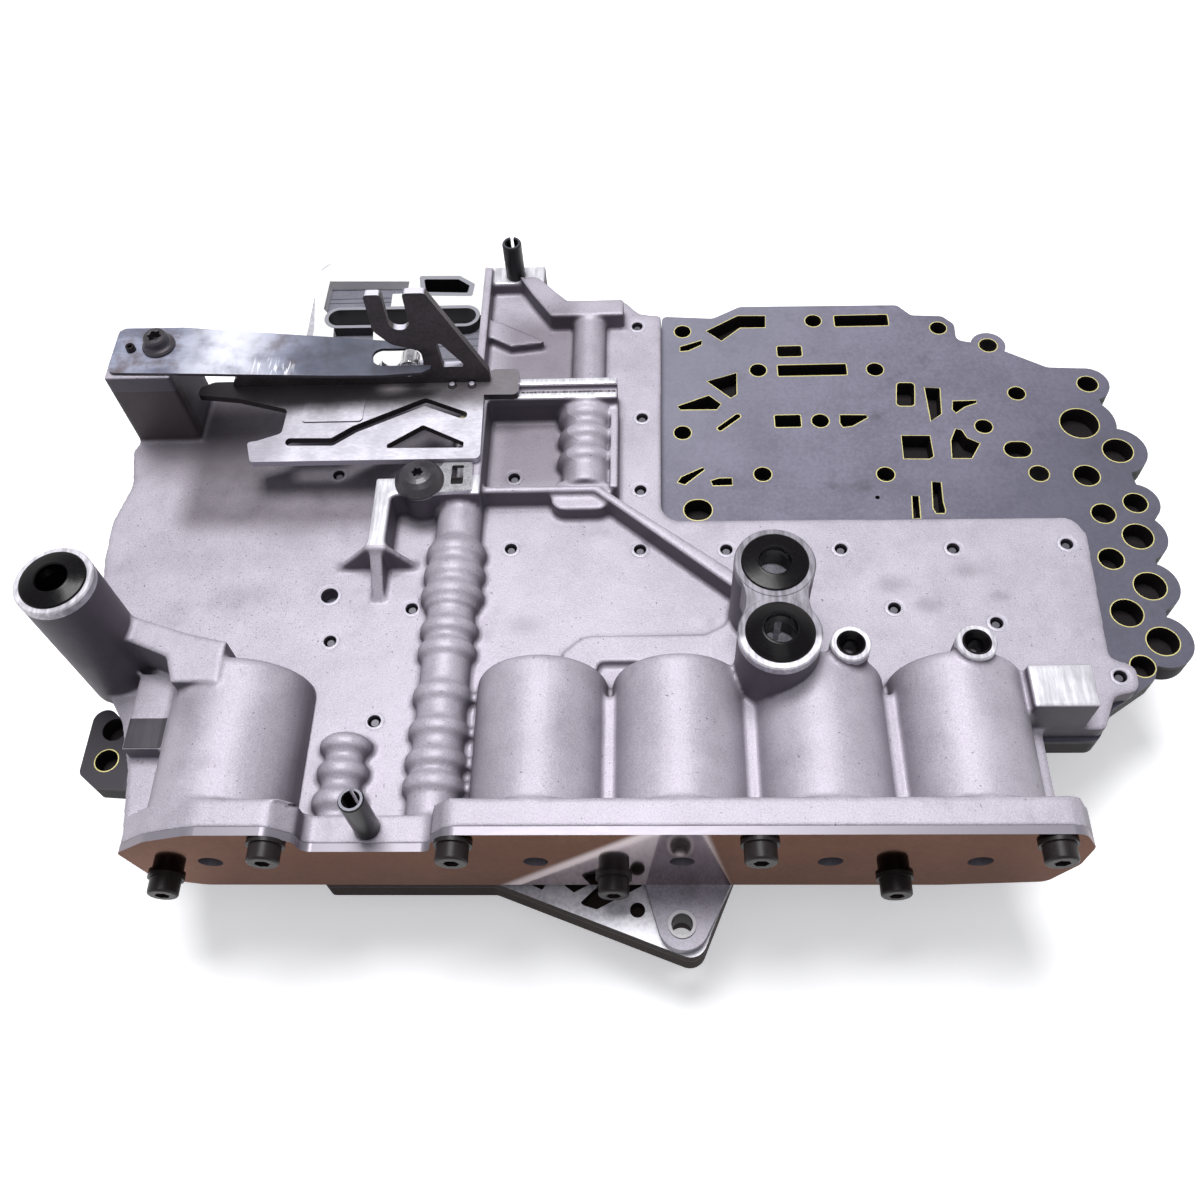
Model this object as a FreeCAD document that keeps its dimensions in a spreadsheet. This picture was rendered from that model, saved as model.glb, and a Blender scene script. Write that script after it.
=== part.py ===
import FreeCAD, Part
import os
import re
import types
from math import atan2, cos, hypot, pi, sin, tan

from FreeCAD import Placement, Rotation, Vector

# Automatic transmission valve body, lying on its solenoid module.
# A cast deck carries five accumulator bores that open at the front under a steel cover,
# three spool valves in ribbed housings, oil ports, and the selector plate with its detent.
# Below the deck lie the separator plate, the transfer plate and the solenoid module.
# X runs along the cover, Y away from it and Z up; the module's underside is the resting face.
# Places in this file are counted from the cover's outer face (Y) and from the middle of the
# four accumulators (X); every finished piece is then moved to the module's middle.

# Driving sizes in millimetres. A text that starts with = is worked out from the others.
SIZES = {
    # where the module's middle lies, counted from the cover
    "module_mid_x": "-60",
    "module_mid_y": "95",
    # heights of the stack, from the resting face up
    "module_depth": "21.5",
    "carrier_thick": "7.5",
    "frame_thick": "5",
    "lug_thick": "4",
    "block_thick": "9.5",
    "slab_thick": "6.5",
    "separator_thick": "1.5",
    "deck_thick": "6",
    "frame_low": "=module_depth + carrier_thick",
    "frame_top": "=frame_low + frame_thick",
    "cover_low": "=frame_top + lug_thick",
    "slab_low": "=frame_top + block_thick",
    "separator_low": "=slab_low + slab_thick",
    "deck_low": "=separator_low + separator_thick",
    "deck_top": "=deck_low + deck_thick",
    # accumulators and their cover
    "cover_thick": "2.5",
    "cover_height": "42",
    "cover_high": "=cover_low + cover_height",
    "ledge_drop": "13",
    "flange_depth": "8.5",
    "flange_back": "=cover_thick + flange_depth",
    "axis_level": "=cover_low + 20.5",
    "accumulator_pitch": "42",
    "lone_accumulator_x": "-158",
    "accumulator_bore": "17.5",
    "accumulator_wall": "3",
    "accumulator_depth": "50",
    "shell_end": "=cover_thick + accumulator_depth + 5.5",
    "shell_round": "3",
    "vent_radius": "3.6",
    "running_gap": "0.05",
    "seat_gap": "0.3",
    "piston_length": "22",
    "piston_wall": "2.5",
    "piston_floor": "4",
    "seal_width": "2.4",
    "seal_depth": "1.4",
    "spring_radius": "11",
    "spring_wire": "1.3",
    "spring_turns": "5",
    # cover bolts
    "bolt_radius": "2.4",
    "bolt_head_radius": "4.6",
    "bolt_head_length": "5",
    "bolt_flange_radius": "5.4",
    "bolt_flange_thick": "1.2",
    "bolt_gap": "0.1",
    # spool valves
    "manual_x": "-94.4",
    "manual_bore": "6",
    "manual_wall": "1.9",
    "band_rise": "1.2",
    "manual_front": "20",
    "pin_y": "156.4",
    "pin_radius": "2",
    "pin_gap": "0.4",
    "short_x": "-122.5",
    "short_bore": "4",
    "short_wall": "2",
    "short_end": "39",
    "long_x": "-51.5",
    "long_bore": "4.4",
    "long_wall": "1.9",
    "long_front": "138",
    "long_mouth": "219.5",
    "plug_length": "5",
    # selector plate and its guides
    "guide_height": "12.7",
    "slide_gap": "0.3",
    "plate_thick": "2.5",
    "rail_top": "=deck_top + guide_height",
    "plate_low": "=rail_top + slide_gap",
    "plate_top": "=plate_low + plate_thick",
    "rail_front": "165.8",
    "rail_width": "9.8",
    "groove_front": "169.7",
    "groove_width": "2.4",
    "groove_depth": "2.6",
    "slot_width": "3.4",
    "fork_front": "171.6",
    "detent_pitch": "7",
    "roller_x": "-112.6",
    "roller_radius": "3.2",
    "roller_width": "6",
    "roller_level": "=deck_top + 25.3",
    "notch_gap": "0.15",
    "fork_gap": "7",
    # detent spring
    "spring_block_height": "33.5",
    "spring_block_top": "=deck_top + spring_block_height",
    "leaf_thick": "1.2",
    "leaf_slot": "8.2",
    "roller_pin_radius": "1.1",
    "detent_screw_radius": "2.9",
    # ports
    "tube_x": "-200.5",
    "tube_y": "66.3",
    "tube_radius": "11.5",
    "tube_height": "50.5",
    "tube_top": "=deck_top + tube_height",
    "tube_bore": "6.5",
    "tube_seal_radius": "9.2",
    "tube_seal_depth": "14",
    "port_x": "8",
    "port_front_y": "57.2",
    "port_back_y": "81.4",
    "port_radius": "12.2",
    "port_seal_radius": "9.6",
    "port_height": "32.5",
    "port_top": "=deck_top + port_height",
    "port_seal_depth": "9",
    "port_bore": "5.4",
    "small_port_radius": "6",
    "small_port_bore": "3.6",
    "small_port_height": "23.5",
    "small_port_top": "=deck_top + small_port_height",
    "tube_split": "=deck_top + 22.5",
    "port_split": "=axis_level + accumulator_bore + accumulator_wall",
    # locating roll pins
    "roll_pin_radius": "3.7",
    "roll_pin_wall": "1",
    "roll_pin_step": "0.5",
    "roll_pin_sink": "6",
    "front_pin_stand": "21",
    "rear_pin_stand": "16",
    "shelf_height": "5.5",
    # screws that hold the stack together, and check balls
    "screw_radius": "2",
    "screw_gap": "0.1",
    "screw_head_radius": "4",
    "screw_head_length": "3.6",
    "ball_radius": "3.1",
    "ball_gap": "0.3",
    # solenoid module and range sensor
    "module_length": "150",
    "module_width": "140",
    "module_round": "8",
    "lug_hole": "3.8",
    "bush_wall": "0.6",
    "sensor_board_thick": "4.5",
    "sensor_frame_thick": "4.5",
    "sensor_slot": "4.4",
    "sensor_bead": "1.6",
}

doc = FreeCAD.newDocument("valve_body")
sheet = doc.addObject("Spreadsheet::Sheet", "Sizes")
for row, (word, text) in enumerate(SIZES.items(), start=1):
    sheet.set("A%d" % row, word)
    sheet.set("B%d" % row, text)
    sheet.setAlias("B%d" % row, word)
doc.recompute()
s = types.SimpleNamespace(**{word: float(sheet.get(word)) for word in SIZES})

PIECES = []
ALONG = {
    "X": Rotation(Vector(0, 1, 0), 90),
    "Y": Rotation(Vector(1, 0, 0), -90),
    "Z": Rotation(),
}


# Expressions and placing

def formula(text):
    """Names of sizes in a text, written as cells of the sheet."""
    return re.sub(r"[a-z][a-z_0-9]*",
                  lambda found: "Sizes." + found.group() if found.group() in SIZES
                  else found.group(), str(text))


def bind(thing, **texts):
    """Bind properties of an object to formulas on the sheet."""
    for name, text in texts.items():
        thing.setExpression(name, formula(text))
    return thing


def place(thing, x=0, y=0, z=0, turn=None):
    """Put an object at a place worked out by the sheet."""
    if turn:
        thing.Placement = Placement(Vector(), turn)
    for name, text in zip("xyz", (x, y, z)):
        thing.setExpression("Placement.Base." + name, formula(text))
    return thing


def finish(thing, label):
    """Name a finished piece and move it from the cover's places to the module's middle."""
    thing.Label = label
    back = thing.Placement.Rotation
    old = {name: text for name, text in thing.ExpressionEngine}
    for name, middle in (("x", "module_mid_x"), ("y", "module_mid_y")):
        text = old.get(".Placement.Base." + name) or old.get("Placement.Base." + name) or "0"
        thing.setExpression("Placement.Base." + name, "%s - %s" % (text, formula(middle)))
    thing.Placement.Rotation = back
    PIECES.append(thing)
    return thing


# Outlines

def rounded(points):
    """Lines and arcs of a closed outline; a point's third number rounds its corner."""
    corners = []
    count = len(points)
    for index, point in enumerate(points):
        here = Vector(point[0], point[1], 0)
        radius = point[2] if len(point) > 2 else 0
        before = Vector(points[index - 1][0], points[index - 1][1], 0)
        after = Vector(points[(index + 1) % count][0], points[(index + 1) % count][1], 0)
        if not radius:
            corners.append((here, here, None))
            continue
        to_before = (before - here).normalize()
        to_after = (after - here).normalize()
        half = to_before.getAngle(to_after) / 2
        reach = radius / tan(half)
        middle = here + (to_before + to_after).normalize() * (radius / sin(half))
        top = middle + (here - middle).normalize() * radius
        corners.append((here + to_before * reach, here + to_after * reach, top))
    edges = []
    for index, (start, end, top) in enumerate(corners):
        if top:
            edges.append(Part.Arc(start, top, end))
        following = corners[(index + 1) % count][0]
        if end.distanceToPoint(following) > 1e-6:
            edges.append(Part.LineSegment(end, following))
    return edges


def ring(x, y, radius):
    """A circle of an outline."""
    return [Part.Circle(Vector(x, y, 0), Vector(0, 0, 1), radius)]


def capsule(first, last, half):
    """Outline of a slot with round ends between two points."""
    start, end = Vector(*first, 0), Vector(*last, 0)
    way = (end - start).normalize()
    side = Vector(-way.y, way.x, 0) * half
    return [
        Part.LineSegment(start + side, end + side),
        Part.Arc(end + side, end + way * half, end - side),
        Part.LineSegment(end - side, start - side),
        Part.Arc(start - side, start - way * half, start + side),
    ]


def rectangle(low_x, low_y, high_x, high_y, radius=0):
    """Outline of a rectangle, its corners rounded if a radius is given."""
    return rounded([(low_x, low_y, radius), (high_x, low_y, radius),
                    (high_x, high_y, radius), (low_x, high_y, radius)])


# Primitives and booleans

def box(name, x, y, z, length, width, height):
    """A rectangular block from its lowest corner."""
    block = doc.addObject("Part::Box", name)
    bind(block, Length=length, Width=width, Height=height)
    return place(block, x, y, z)


def rod(name, x, y, z, radius, height, along="Z"):
    """A cylinder from the middle of its first end."""
    cylinder = doc.addObject("Part::Cylinder", name)
    bind(cylinder, Radius=radius, Height=height)
    return place(cylinder, x, y, z, ALONG[along])


def slab(name, outlines, low, thick, upright=None):
    """A plate of one or more outlines, level or standing with its face along X or Y."""
    sketch = doc.addObject("Sketcher::SketchObject", name + "_outline")
    for outline in outlines:
        sketch.addGeometry(outline, False)
    plate = doc.addObject("Part::Extrusion", name)
    plate.Base = sketch
    plate.DirMode = "Custom"
    plate.Solid = True
    if upright == "Y":
        sketch.Placement = Placement(Vector(), Rotation(Vector(1, 0, 0), 90))
        sketch.setExpression("Placement.Base.y", formula(low))
        plate.Dir = Vector(0, 1, 0)
    elif upright == "X":
        sketch.Placement = Placement(Vector(), Rotation(Vector(1, 1, 1), 120))
        sketch.setExpression("Placement.Base.x", formula(low))
        plate.Dir = Vector(1, 0, 0)
    else:
        sketch.setExpression("Placement.Base.z", formula(low))
        plate.Dir = Vector(0, 0, 1)
    return bind(plate, LengthFwd=thick)


def fuse(name, solids):
    """Several solids as one."""
    whole = doc.addObject("Part::MultiFuse", name)
    whole.Shapes = solids
    return whole


def cut(name, base, tools):
    """A solid less one or more others."""
    less = doc.addObject("Part::Cut", name)
    less.Base = base
    less.Tool = tools[0] if len(tools) == 1 else fuse(name + "_tools", tools)
    return less


# Bodies made by sketch and feature

def new_body(name):
    """An empty body."""
    return doc.addObject("PartDesign::Body", name)


def sketch_on(body, role, name, outlines):
    """A sketch on one of a body's own origin planes."""
    sketch = body.newObject("Sketcher::SketchObject", name)
    plane = [part for part in body.Origin.OriginFeatures if part.Role == role][0]
    sketch.AttachmentSupport = [(plane, "")]
    sketch.MapMode = "FlatFace"
    for outline in outlines:
        sketch.addGeometry(outline, False)
    return sketch


def lift(sketch, height):
    """Raise a sketch off its plane by a formula."""
    sketch.setExpression("AttachmentOffset.Base.z", formula(height))
    return sketch


def pad(body, sketch, length, name):
    """Material from a sketch, along its normal."""
    feature = body.newObject("PartDesign::Pad", name)
    feature.Profile = sketch
    return bind(feature, Length=length)


def pocket(body, sketch, name):
    """A cut from a sketch right through the body."""
    feature = body.newObject("PartDesign::Pocket", name)
    feature.Profile = sketch
    feature.Type = "ThroughAll"
    feature.Midplane = True
    return feature


def turned(name, profile, along="Y"):
    """A body of revolution; profile points are radius and place along the axis."""
    body = new_body(name)
    role = "XY_Plane" if along == "Y" else "XZ_Plane"
    sketch = sketch_on(body, role, name + "_profile", [rounded(profile)])
    feature = body.newObject("PartDesign::Revolution", name + "_turned")
    feature.Profile = sketch
    feature.ReferenceAxis = (sketch, ["V_Axis"])
    feature.Angle = 360
    return body


# Places shared by several pieces

BANK = [s.accumulator_pitch * (index - 1.5) for index in range(4)]
ACCUMULATORS = [s.lone_accumulator_x] + BANK
HIGH_BOLTS = [-137, -84.5, 0, 80]
LOW_BOLTS = [-175.5, -41, 41]
HIGH_BOLT_DROP = 5.5
LOW_BOLT_RISE = 8.5
BOLTS = ([(x, s.cover_high - HIGH_BOLT_DROP) for x in HIGH_BOLTS]
         + [(x, s.cover_low + LOW_BOLT_RISE) for x in LOW_BOLTS])
SCREWS = [(-108, 86.6), (-133.6, 74.5), (-115.6, 45.6), (-77, 140.3), (-76.5, 110), (-32.5, 134.1),
          (-32.7, 109), (-33.5, 213), (-31.8, 167), (-3.8, 108.5), (34.3, 108.2),
          (71.2, 107.8), (108.5, 109), (49.2, 84.8), (80.7, 78.9), (115, 59.3), (-140, 142.9)]
DRAIN = (-136.2, 92)
BALLS = [(-150, 120), (-60, 100), (-20, 90), (20, 130), (46, 125), (84, 95), (-70, 155)]
FRONT_ROLL_PIN = (-111, 7.2)
REAR_ROLL_PIN = (-81, 236.8)
WELDS = [-99, -92]
WELD_RADIUS = 1.6
LUG_BOLT = (-21, -12)
SENSOR_SLOT = ((-156.1, 236.3), (-103.9, 235.8))
SENSOR_HOLE = [(-123, 257.7), (-108.4, 257.2), (-103.4, 253.3), (-104, 249.1), (-121.4, 250.1)]
SLOT_ROUTE = [(-153.8, 145.5), (-139, 145.2), (-131.7, 150.8), (-118.7, 157.4), (-108.2, 162.7),
              (s.manual_x, s.pin_y)]


def face_outline(high, ledge, low):
    """Outline of the accumulator face, shared by the cover and the casting's flange."""
    return [
        (-183, low + 28, 3), (-172, high - 5, 6), (-158, high, 12), (-136, high, 4),
        (-129.5, high - 6, 3), (-129, ledge, 3), (-92.5, ledge, 3), (-91, high - 6, 3),
        (-86, high, 5), (86, high, 5), (91.5, high - 10, 6), (91.5, low + 18, 8),
        (86, low + 3, 4), (56, low, 8), (-166, low, 8), (-180, low + 6, 5),
    ]


# Accumulator cover, pistons, seals, springs and bolts

def make_cover():
    """Steel plate over the five bores, with a vent at each."""
    body = new_body("cover")
    ledge = s.cover_high - s.ledge_drop
    outline = rounded(face_outline(s.cover_high, ledge, s.cover_low))
    sketch = sketch_on(body, "XZ_Plane", "cover_outline", [outline])
    lift(sketch, "-cover_thick")
    pad(body, sketch, "cover_thick", "cover_plate")
    holes = [ring(x, s.axis_level, s.vent_radius) for x in ACCUMULATORS]
    holes += [ring(x, z, s.bolt_radius + s.bolt_gap) for x, z in BOLTS]
    pocket(body, sketch_on(body, "XZ_Plane", "cover_holes", holes), "cover_drilled")
    return finish(body, "accumulator_cover")


def make_bolts():
    """Flanged cover bolts with a six-lobed socket each."""
    bolts = []
    socket = 2.3
    for index, (x, z) in enumerate(BOLTS):
        head = s.bolt_flange_thick + s.bolt_head_length
        profile = [(0, -head), (s.bolt_head_radius, -head, 0.8),
                   (s.bolt_head_radius, -s.bolt_flange_thick),
                   (s.bolt_flange_radius, -s.bolt_flange_thick), (s.bolt_flange_radius, 0),
                   (s.bolt_radius, 0), (s.bolt_radius, s.flange_back), (0, s.flange_back)]
        bolt = turned("bolt_%d" % index, profile)
        hexagon = rounded([(socket * cos(pi * side / 3), socket * sin(pi * side / 3))
                           for side in range(6)])
        sketch = sketch_on(bolt, "XZ_Plane", "bolt_socket_%d" % index, [hexagon])
        lift(sketch, "bolt_flange_thick + bolt_head_length")
        feature = bolt.newObject("PartDesign::Pocket", "bolt_recess_%d" % index)
        feature.Profile = sketch
        feature.Length = 2.5
        bolts.append(place(bolt, x, 0, z))
    return finish(fuse("bolts", bolts), "cover_bolts")


def make_accumulators():
    """A cup piston, its seal ring and its spring in each accumulator bore."""
    back = s.cover_thick + s.accumulator_depth - s.seat_gap
    front = back - s.piston_length
    outer = s.accumulator_bore - s.running_gap
    inner = outer - s.piston_wall
    seal_front = back - 8
    bed = outer - s.seal_depth
    cup = [(0, back), (outer - 1, back), (outer, back - 1), (outer, seal_front + s.seal_width),
           (bed, seal_front + s.seal_width), (bed, seal_front), (outer, seal_front),
           (outer, front), (inner, front), (inner, back - s.piston_floor),
           (0, back - s.piston_floor)]
    band = [(bed, seal_front), (outer, seal_front), (outer, seal_front + s.seal_width),
            (bed, seal_front + s.seal_width)]
    for index, x in enumerate(ACCUMULATORS, start=1):
        finish(place(turned("piston_%d" % index, cup), x, 0, "axis_level"),
               "accumulator_piston_%d" % index)
        finish(place(turned("seal_%d" % index, band), x, 0, "axis_level"),
               "piston_seal_%d" % index)
        start = s.cover_thick + s.seat_gap + s.spring_wire
        reach = back - s.piston_floor - s.seat_gap - s.spring_wire - start
        coil = doc.addObject("Part::Helix", "coil_%d" % index)
        coil.Height = reach
        bind(coil, Radius="spring_radius", Pitch="%s / spring_turns" % reach)
        wire = doc.addObject("Part::RegularPolygon", "wire_%d" % index)
        wire.Polygon = 4
        bind(wire, Circumradius="spring_wire * 1.2")
        wire.Placement = Placement(Vector(s.spring_radius, 0, 0), Rotation(Vector(1, 0, 0), 90))
        spring = doc.addObject("Part::Sweep", "spring_%d" % index)
        spring.Sections = [wire]
        spring.Spine = (coil, ["Edge1"])
        spring.Solid = True
        spring.Frenet = True
        finish(place(spring, x, start, "axis_level", ALONG["Y"]), "accumulator_spring_%d" % index)


# Casting

def ribbed_housing(name, x, radius, start, end, rings, tip):
    """A valve bore's housing with rounded rings round it."""
    profile = [(0, start), (radius, start, 1)]
    for middle, half, swell in rings:
        crest = radius + swell
        profile += [(radius, middle - half), (crest, middle - half / 2.6, swell * 0.6),
                    (crest, middle + half / 2.6, swell * 0.6), (radius, middle + half)]
    profile += [(radius, end, tip), (0, end)]
    return place(turned(name, profile), x, 0, "axis_level")


def deck_parts():
    """The flat web of the casting and the walls and blocks that stand on it."""
    outline = [
        (-186, s.cover_thick), (-190.5, 30, 3), (-196, 46, 5), (-207, 62), (-214, 92, 8),
        (-217, 108, 6), (-218, 124, 10), (-214.5, 140, 10), (-218, 156, 4), (-216, 160),
        (-216, 183, 2), (-193, 183), (-100, 186, 4), (-93, 196, 4), (-92.5, 241.5, 2),
        (-69.5, 241.5, 2), (-68, 228, 3), (-39, 227.5, 3), (-32.5, 220, 4), (-24.3, 218.7, 1),
        (-25.4, 121, 7), (112.5, 120, 5), (116, 113, 3), (113.3, 66, 3), (121, 63, 4),
        (120, 54.5, 4), (112, 52.5, 2), (107, 41.4, 3), (88, 41.4), (88, s.cover_thick),
    ]
    parts = [slab("deck", [rounded(outline)], "deck_low", "deck_thick")]
    for index, x in enumerate(ACCUMULATORS):
        radius = s.accumulator_bore + s.accumulator_wall
        shell = turned("shell_%d" % index, [
            (0, s.cover_thick), (radius, s.cover_thick), (radius, s.shell_end, s.shell_round),
            (0, s.shell_end)])
        parts.append(place(shell, x, 0, "axis_level"))
    for index in range(3):
        middle = (BANK[index] + BANK[index + 1]) / 2
        parts.append(rod("ridge_%d" % index, middle, "cover_thick", "deck_top + 5", 3.4, 47, "Y"))
    ledge = s.cover_high - s.ledge_drop
    flange = rounded(face_outline(s.cover_high, ledge, s.cover_low))
    parts.append(slab("flange", [flange], "cover_thick", "flange_depth", "Y"))
    web = s.deck_top - s.deck_low
    wall = "guide_height"
    low = "deck_top"
    parts += [
        box("spring_block", -216, 160, low, 23, 23, "spring_block_height"),
        box("clamp_block_right", 82, 41.7, low, 19, 13.9, 15),
        box("clamp_block_left", -190.4, 33.3, "deck_low", 13.5, 26, 7 + web),
        box("rail", -90, "rail_front", low, 49.5, "rail_width", wall),
        box("pocket_wall", -90, 131, low, 3.4, 42, wall),
        box("ledge_front", -122.5, 124, low, 36, 7.5, wall),
        box("ledge_side", -122.5, 104, low, 6, 24, wall),
        box("guard_rib", -42.8, 129, low, 2.8, 37, 8.5),
        box("cross_rib", -90, 127.4, low, 44, 2.6, 9),
        box("rear_wall", -93, 172, low, 3, 67, 8),
        box("rear_block", -65, "long_mouth - 8", low, 26.5, 8, 8),
        box("rear_shelf", -92.5, 231.6, low, 23, 9.9, "shelf_height"),
        slab("rear_fold", [rounded([(-91, 214), (-86, 213.3), (-66.8, 201.8, 1), (-81, 200),
                                    (-91, 206)])], low, 4),
        rod("screw_boss", -107, 128.6, low, 7, wall),
        slab("rear_arm", [rounded([(-66, s.long_mouth - 8), (-60, s.long_mouth), (-72, 233, 1),
                                   (-79, 233), (-74, 224)])], low, 8),
        slab("bank_pad", [rounded([
            (-62, 52), (-57, 68.5, 3), (-50.8, 74, 4), (-12, 74.3, 6), (-5.7, 77.8, 4), (-2, 84),
            (8, 80), (8, 56), (-2.7, 57), (-7.3, 57, 1), (-9, 62, 2), (-15, 54), (-29, 52),
            (-33, 64.5, 1.5), (-45.5, 64.5, 1.5), (-47.4, 59, 1), (-52, 56)])], low, 2.6),
        slab("diagonal_rib", [rounded([(-47, 130), (-48, 127.4), (-3, 88), (1, 91.5)])], low, 9),
        slab("gusset_wide", [rounded([(-136, s.deck_top - 1), (-122.5, s.rail_top),
                                      (-116.5, s.rail_top), (-106.5, s.deck_top - 1)])],
             102, 2.2, "Y"),
        slab("gusset_long", [rounded([(90, s.deck_top - 1), (90, s.deck_top + 1),
                                      (103, s.rail_top), (103, s.deck_top - 1)])],
             -121.6, 4.2, "X"),
        slab("tube_arm", [rounded([(-197.5, 66), (-194.3, 73.3), (-184.4, 69.6),
                                   (-170.3, 64.8), (-158.2, 62), (-158.2, 48), (-172.7, 48),
                                   (-176, 57)])], "deck_top + 4.5", 18),
    ]
    parts += [
        rod("tube", "tube_x", "tube_y", "deck_low", "tube_radius", "tube_split - deck_low"),
        rod("port_front", "port_x", "port_front_y", "deck_low", "port_radius",
            "port_split - deck_low"),
        rod("port_back", "port_x", "port_back_y", "deck_low", "port_radius",
            "port_split - deck_low"),
        box("port_bridge", "port_x - 7", "port_front_y", low, 14, "port_back_y - port_front_y",
            "port_split - deck_top"),
        rod("small_port_a", 29.5, 58.5, "deck_low", "small_port_radius",
            "small_port_top - deck_low"),
        rod("small_port_b", 66, 58.5, "deck_low", "small_port_radius",
            "small_port_top - deck_low"),
    ]
    manual_radius = s.manual_bore + s.manual_wall
    manual_rings = [(22.3, 3.6, 1.7), (30.2, 3.6, 1.8), (40.3, 3.4, 1.7), (52.3, 3.6, 1.6),
                    (68, 3.6, 1.6), (76, 3.4, 1.6)]
    band_rings = [(88.8, 3.4, 1.4), (97.2, 3.6, 1.2), (105.5, 3.2, 1.1)]
    parts += [
        ribbed_housing("manual_housing", "manual_x", manual_radius, 9, 125, manual_rings, 2),
        ribbed_housing("manual_band", "manual_x", manual_radius + s.band_rise, 83.6, 110,
                       band_rings, 1),
        ribbed_housing("short_housing", "short_x", s.short_bore + s.short_wall, 9,
                       s.short_end + 0.5,
                       [(s.short_end - 21.5, 4, 2.2), (s.short_end - 12, 3.5, 2),
                        (s.short_end - 3.4, 3.2, 2.2)], 2),
        ribbed_housing("long_housing", "long_x", s.long_bore + s.long_wall + 2.2, 132, 170,
                       [(144, 3.6, 1.9), (154, 3.6, 1.9), (163.5, 4.2, 2.1)], 1),
        ribbed_housing("long_column", "long_x", s.long_bore + s.long_wall, 166,
                       s.long_mouth, [], 0),
        slab("long_bump", [rectangle(-63, 121.5, -42.5, 134, 5)], low, 6.5),
    ]
    return parts


def casting_cuts():
    """The bores, ports and holes of the casting."""
    cuts = []
    for index, x in enumerate(ACCUMULATORS):
        cuts.append(rod("bore_%d" % index, x, "cover_thick", "axis_level", "accumulator_bore",
                        "accumulator_depth", "Y"))
    for index, (x, z) in enumerate(BOLTS):
        cuts.append(rod("bolt_hole_%d" % index, x, "cover_thick", z, "bolt_radius + bolt_gap",
                        "flange_depth + 1", "Y"))
    for index, (x, y) in enumerate(SCREWS):
        cuts.append(rod("screw_hole_%d" % index, x, y, "deck_low - 1",
                        "screw_radius + screw_gap", "deck_thick + 20"))
    groove = box("rail_groove", -91, "groove_front", "rail_top - groove_depth", 60,
                 "groove_width", "groove_depth + 1")
    tap = "detent_screw_radius + bolt_gap"
    cuts += [
        groove,
        rod("manual_hole", "manual_x", "manual_front", "axis_level", "manual_bore",
            "pin_y + 10.6 - manual_front", "Y"),
        box("underside", -240, "shell_end + seat_gap", 0, 400, 260, "deck_low"),
        rod("short_hole", "short_x", "cover_thick", "axis_level", "short_bore",
            "short_end - cover_thick - 3", "Y"),
        rod("long_hole", "long_x", "long_front", "axis_level", "long_bore",
            "long_mouth - long_front + 8.5", "Y"),
        rod("tube_hole", "tube_x", "tube_y", "deck_low - 1", "tube_bore", 80),
        rod("drain", DRAIN[0], DRAIN[1], "deck_low - 1", 2.9, 20),
        rod("detent_tap", -199, 173.5, "spring_block_top - 12", tap, 20),
        rod("locator_tap", -208.5, 172, "spring_block_top - 6", 1.6, 20),
        rod("keeper_tap", -107, 128.6, "rail_top - 11", tap, 20),
        rod("front_roll_hole", FRONT_ROLL_PIN[0], FRONT_ROLL_PIN[1],
            "cover_high - ledge_drop - roll_pin_sink", "roll_pin_radius - roll_pin_step + running_gap", 40),
        rod("rear_roll_hole", REAR_ROLL_PIN[0], REAR_ROLL_PIN[1],
            "deck_top + shelf_height - roll_pin_sink", "roll_pin_radius - roll_pin_step + running_gap", 40),
    ]
    for name, y in (("front", "port_front_y"), ("back", "port_back_y")):
        cuts.append(rod(name + "_port_hole", "port_x", y, "port_top - port_seal_depth - 8",
                        "port_bore", 60))
    for name, x in (("a", 29.5), ("b", 66)):
        cuts.append(rod("small_hole_" + name, x, 58.5, "small_port_top - 8",
                        "small_port_bore + bolt_gap", 20))
    return cuts


def make_casting():
    """The cast body with everything that is one piece of metal with it."""
    whole = fuse("casting_solid", deck_parts())
    return finish(cut("casting", whole, casting_cuts()), "valve_body_casting")


def make_bosses():
    """Upper ends of the tall tube and of the two oil ports, of one metal with the casting."""
    tube = rod("tube_end", "tube_x", "tube_y", "tube_split", "tube_radius",
               "tube_top - tube_split")
    tools = [rod("tube_end_hole", "tube_x", "tube_y", "tube_split - 1", "tube_bore", 60),
             rod("tube_seat", "tube_x", "tube_y", "tube_top - tube_seal_depth",
                 "tube_seal_radius + bolt_gap", 20)]
    finish(cut("tube_boss", tube, tools), "casting_tube_boss")
    parts = [box("port_end_bridge", "port_x - 7", "port_front_y", "port_split", 14,
                 "port_back_y - port_front_y", "port_top - port_split - 2")]
    tools = []
    for name, y in (("front", "port_front_y"), ("back", "port_back_y")):
        parts.append(rod(name + "_port_end", "port_x", y, "port_split", "port_radius",
                         "port_top - port_split"))
        tools.append(rod(name + "_port_end_hole", "port_x", y, "port_split - 1", "port_bore", 60))
        tools.append(rod(name + "_port_seat", "port_x", y, "port_top - port_seal_depth",
                         "port_seal_radius + bolt_gap", 40))
    finish(cut("port_boss", fuse("port_boss_solid", parts), tools), "casting_port_boss")


# Plates below the casting

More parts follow.
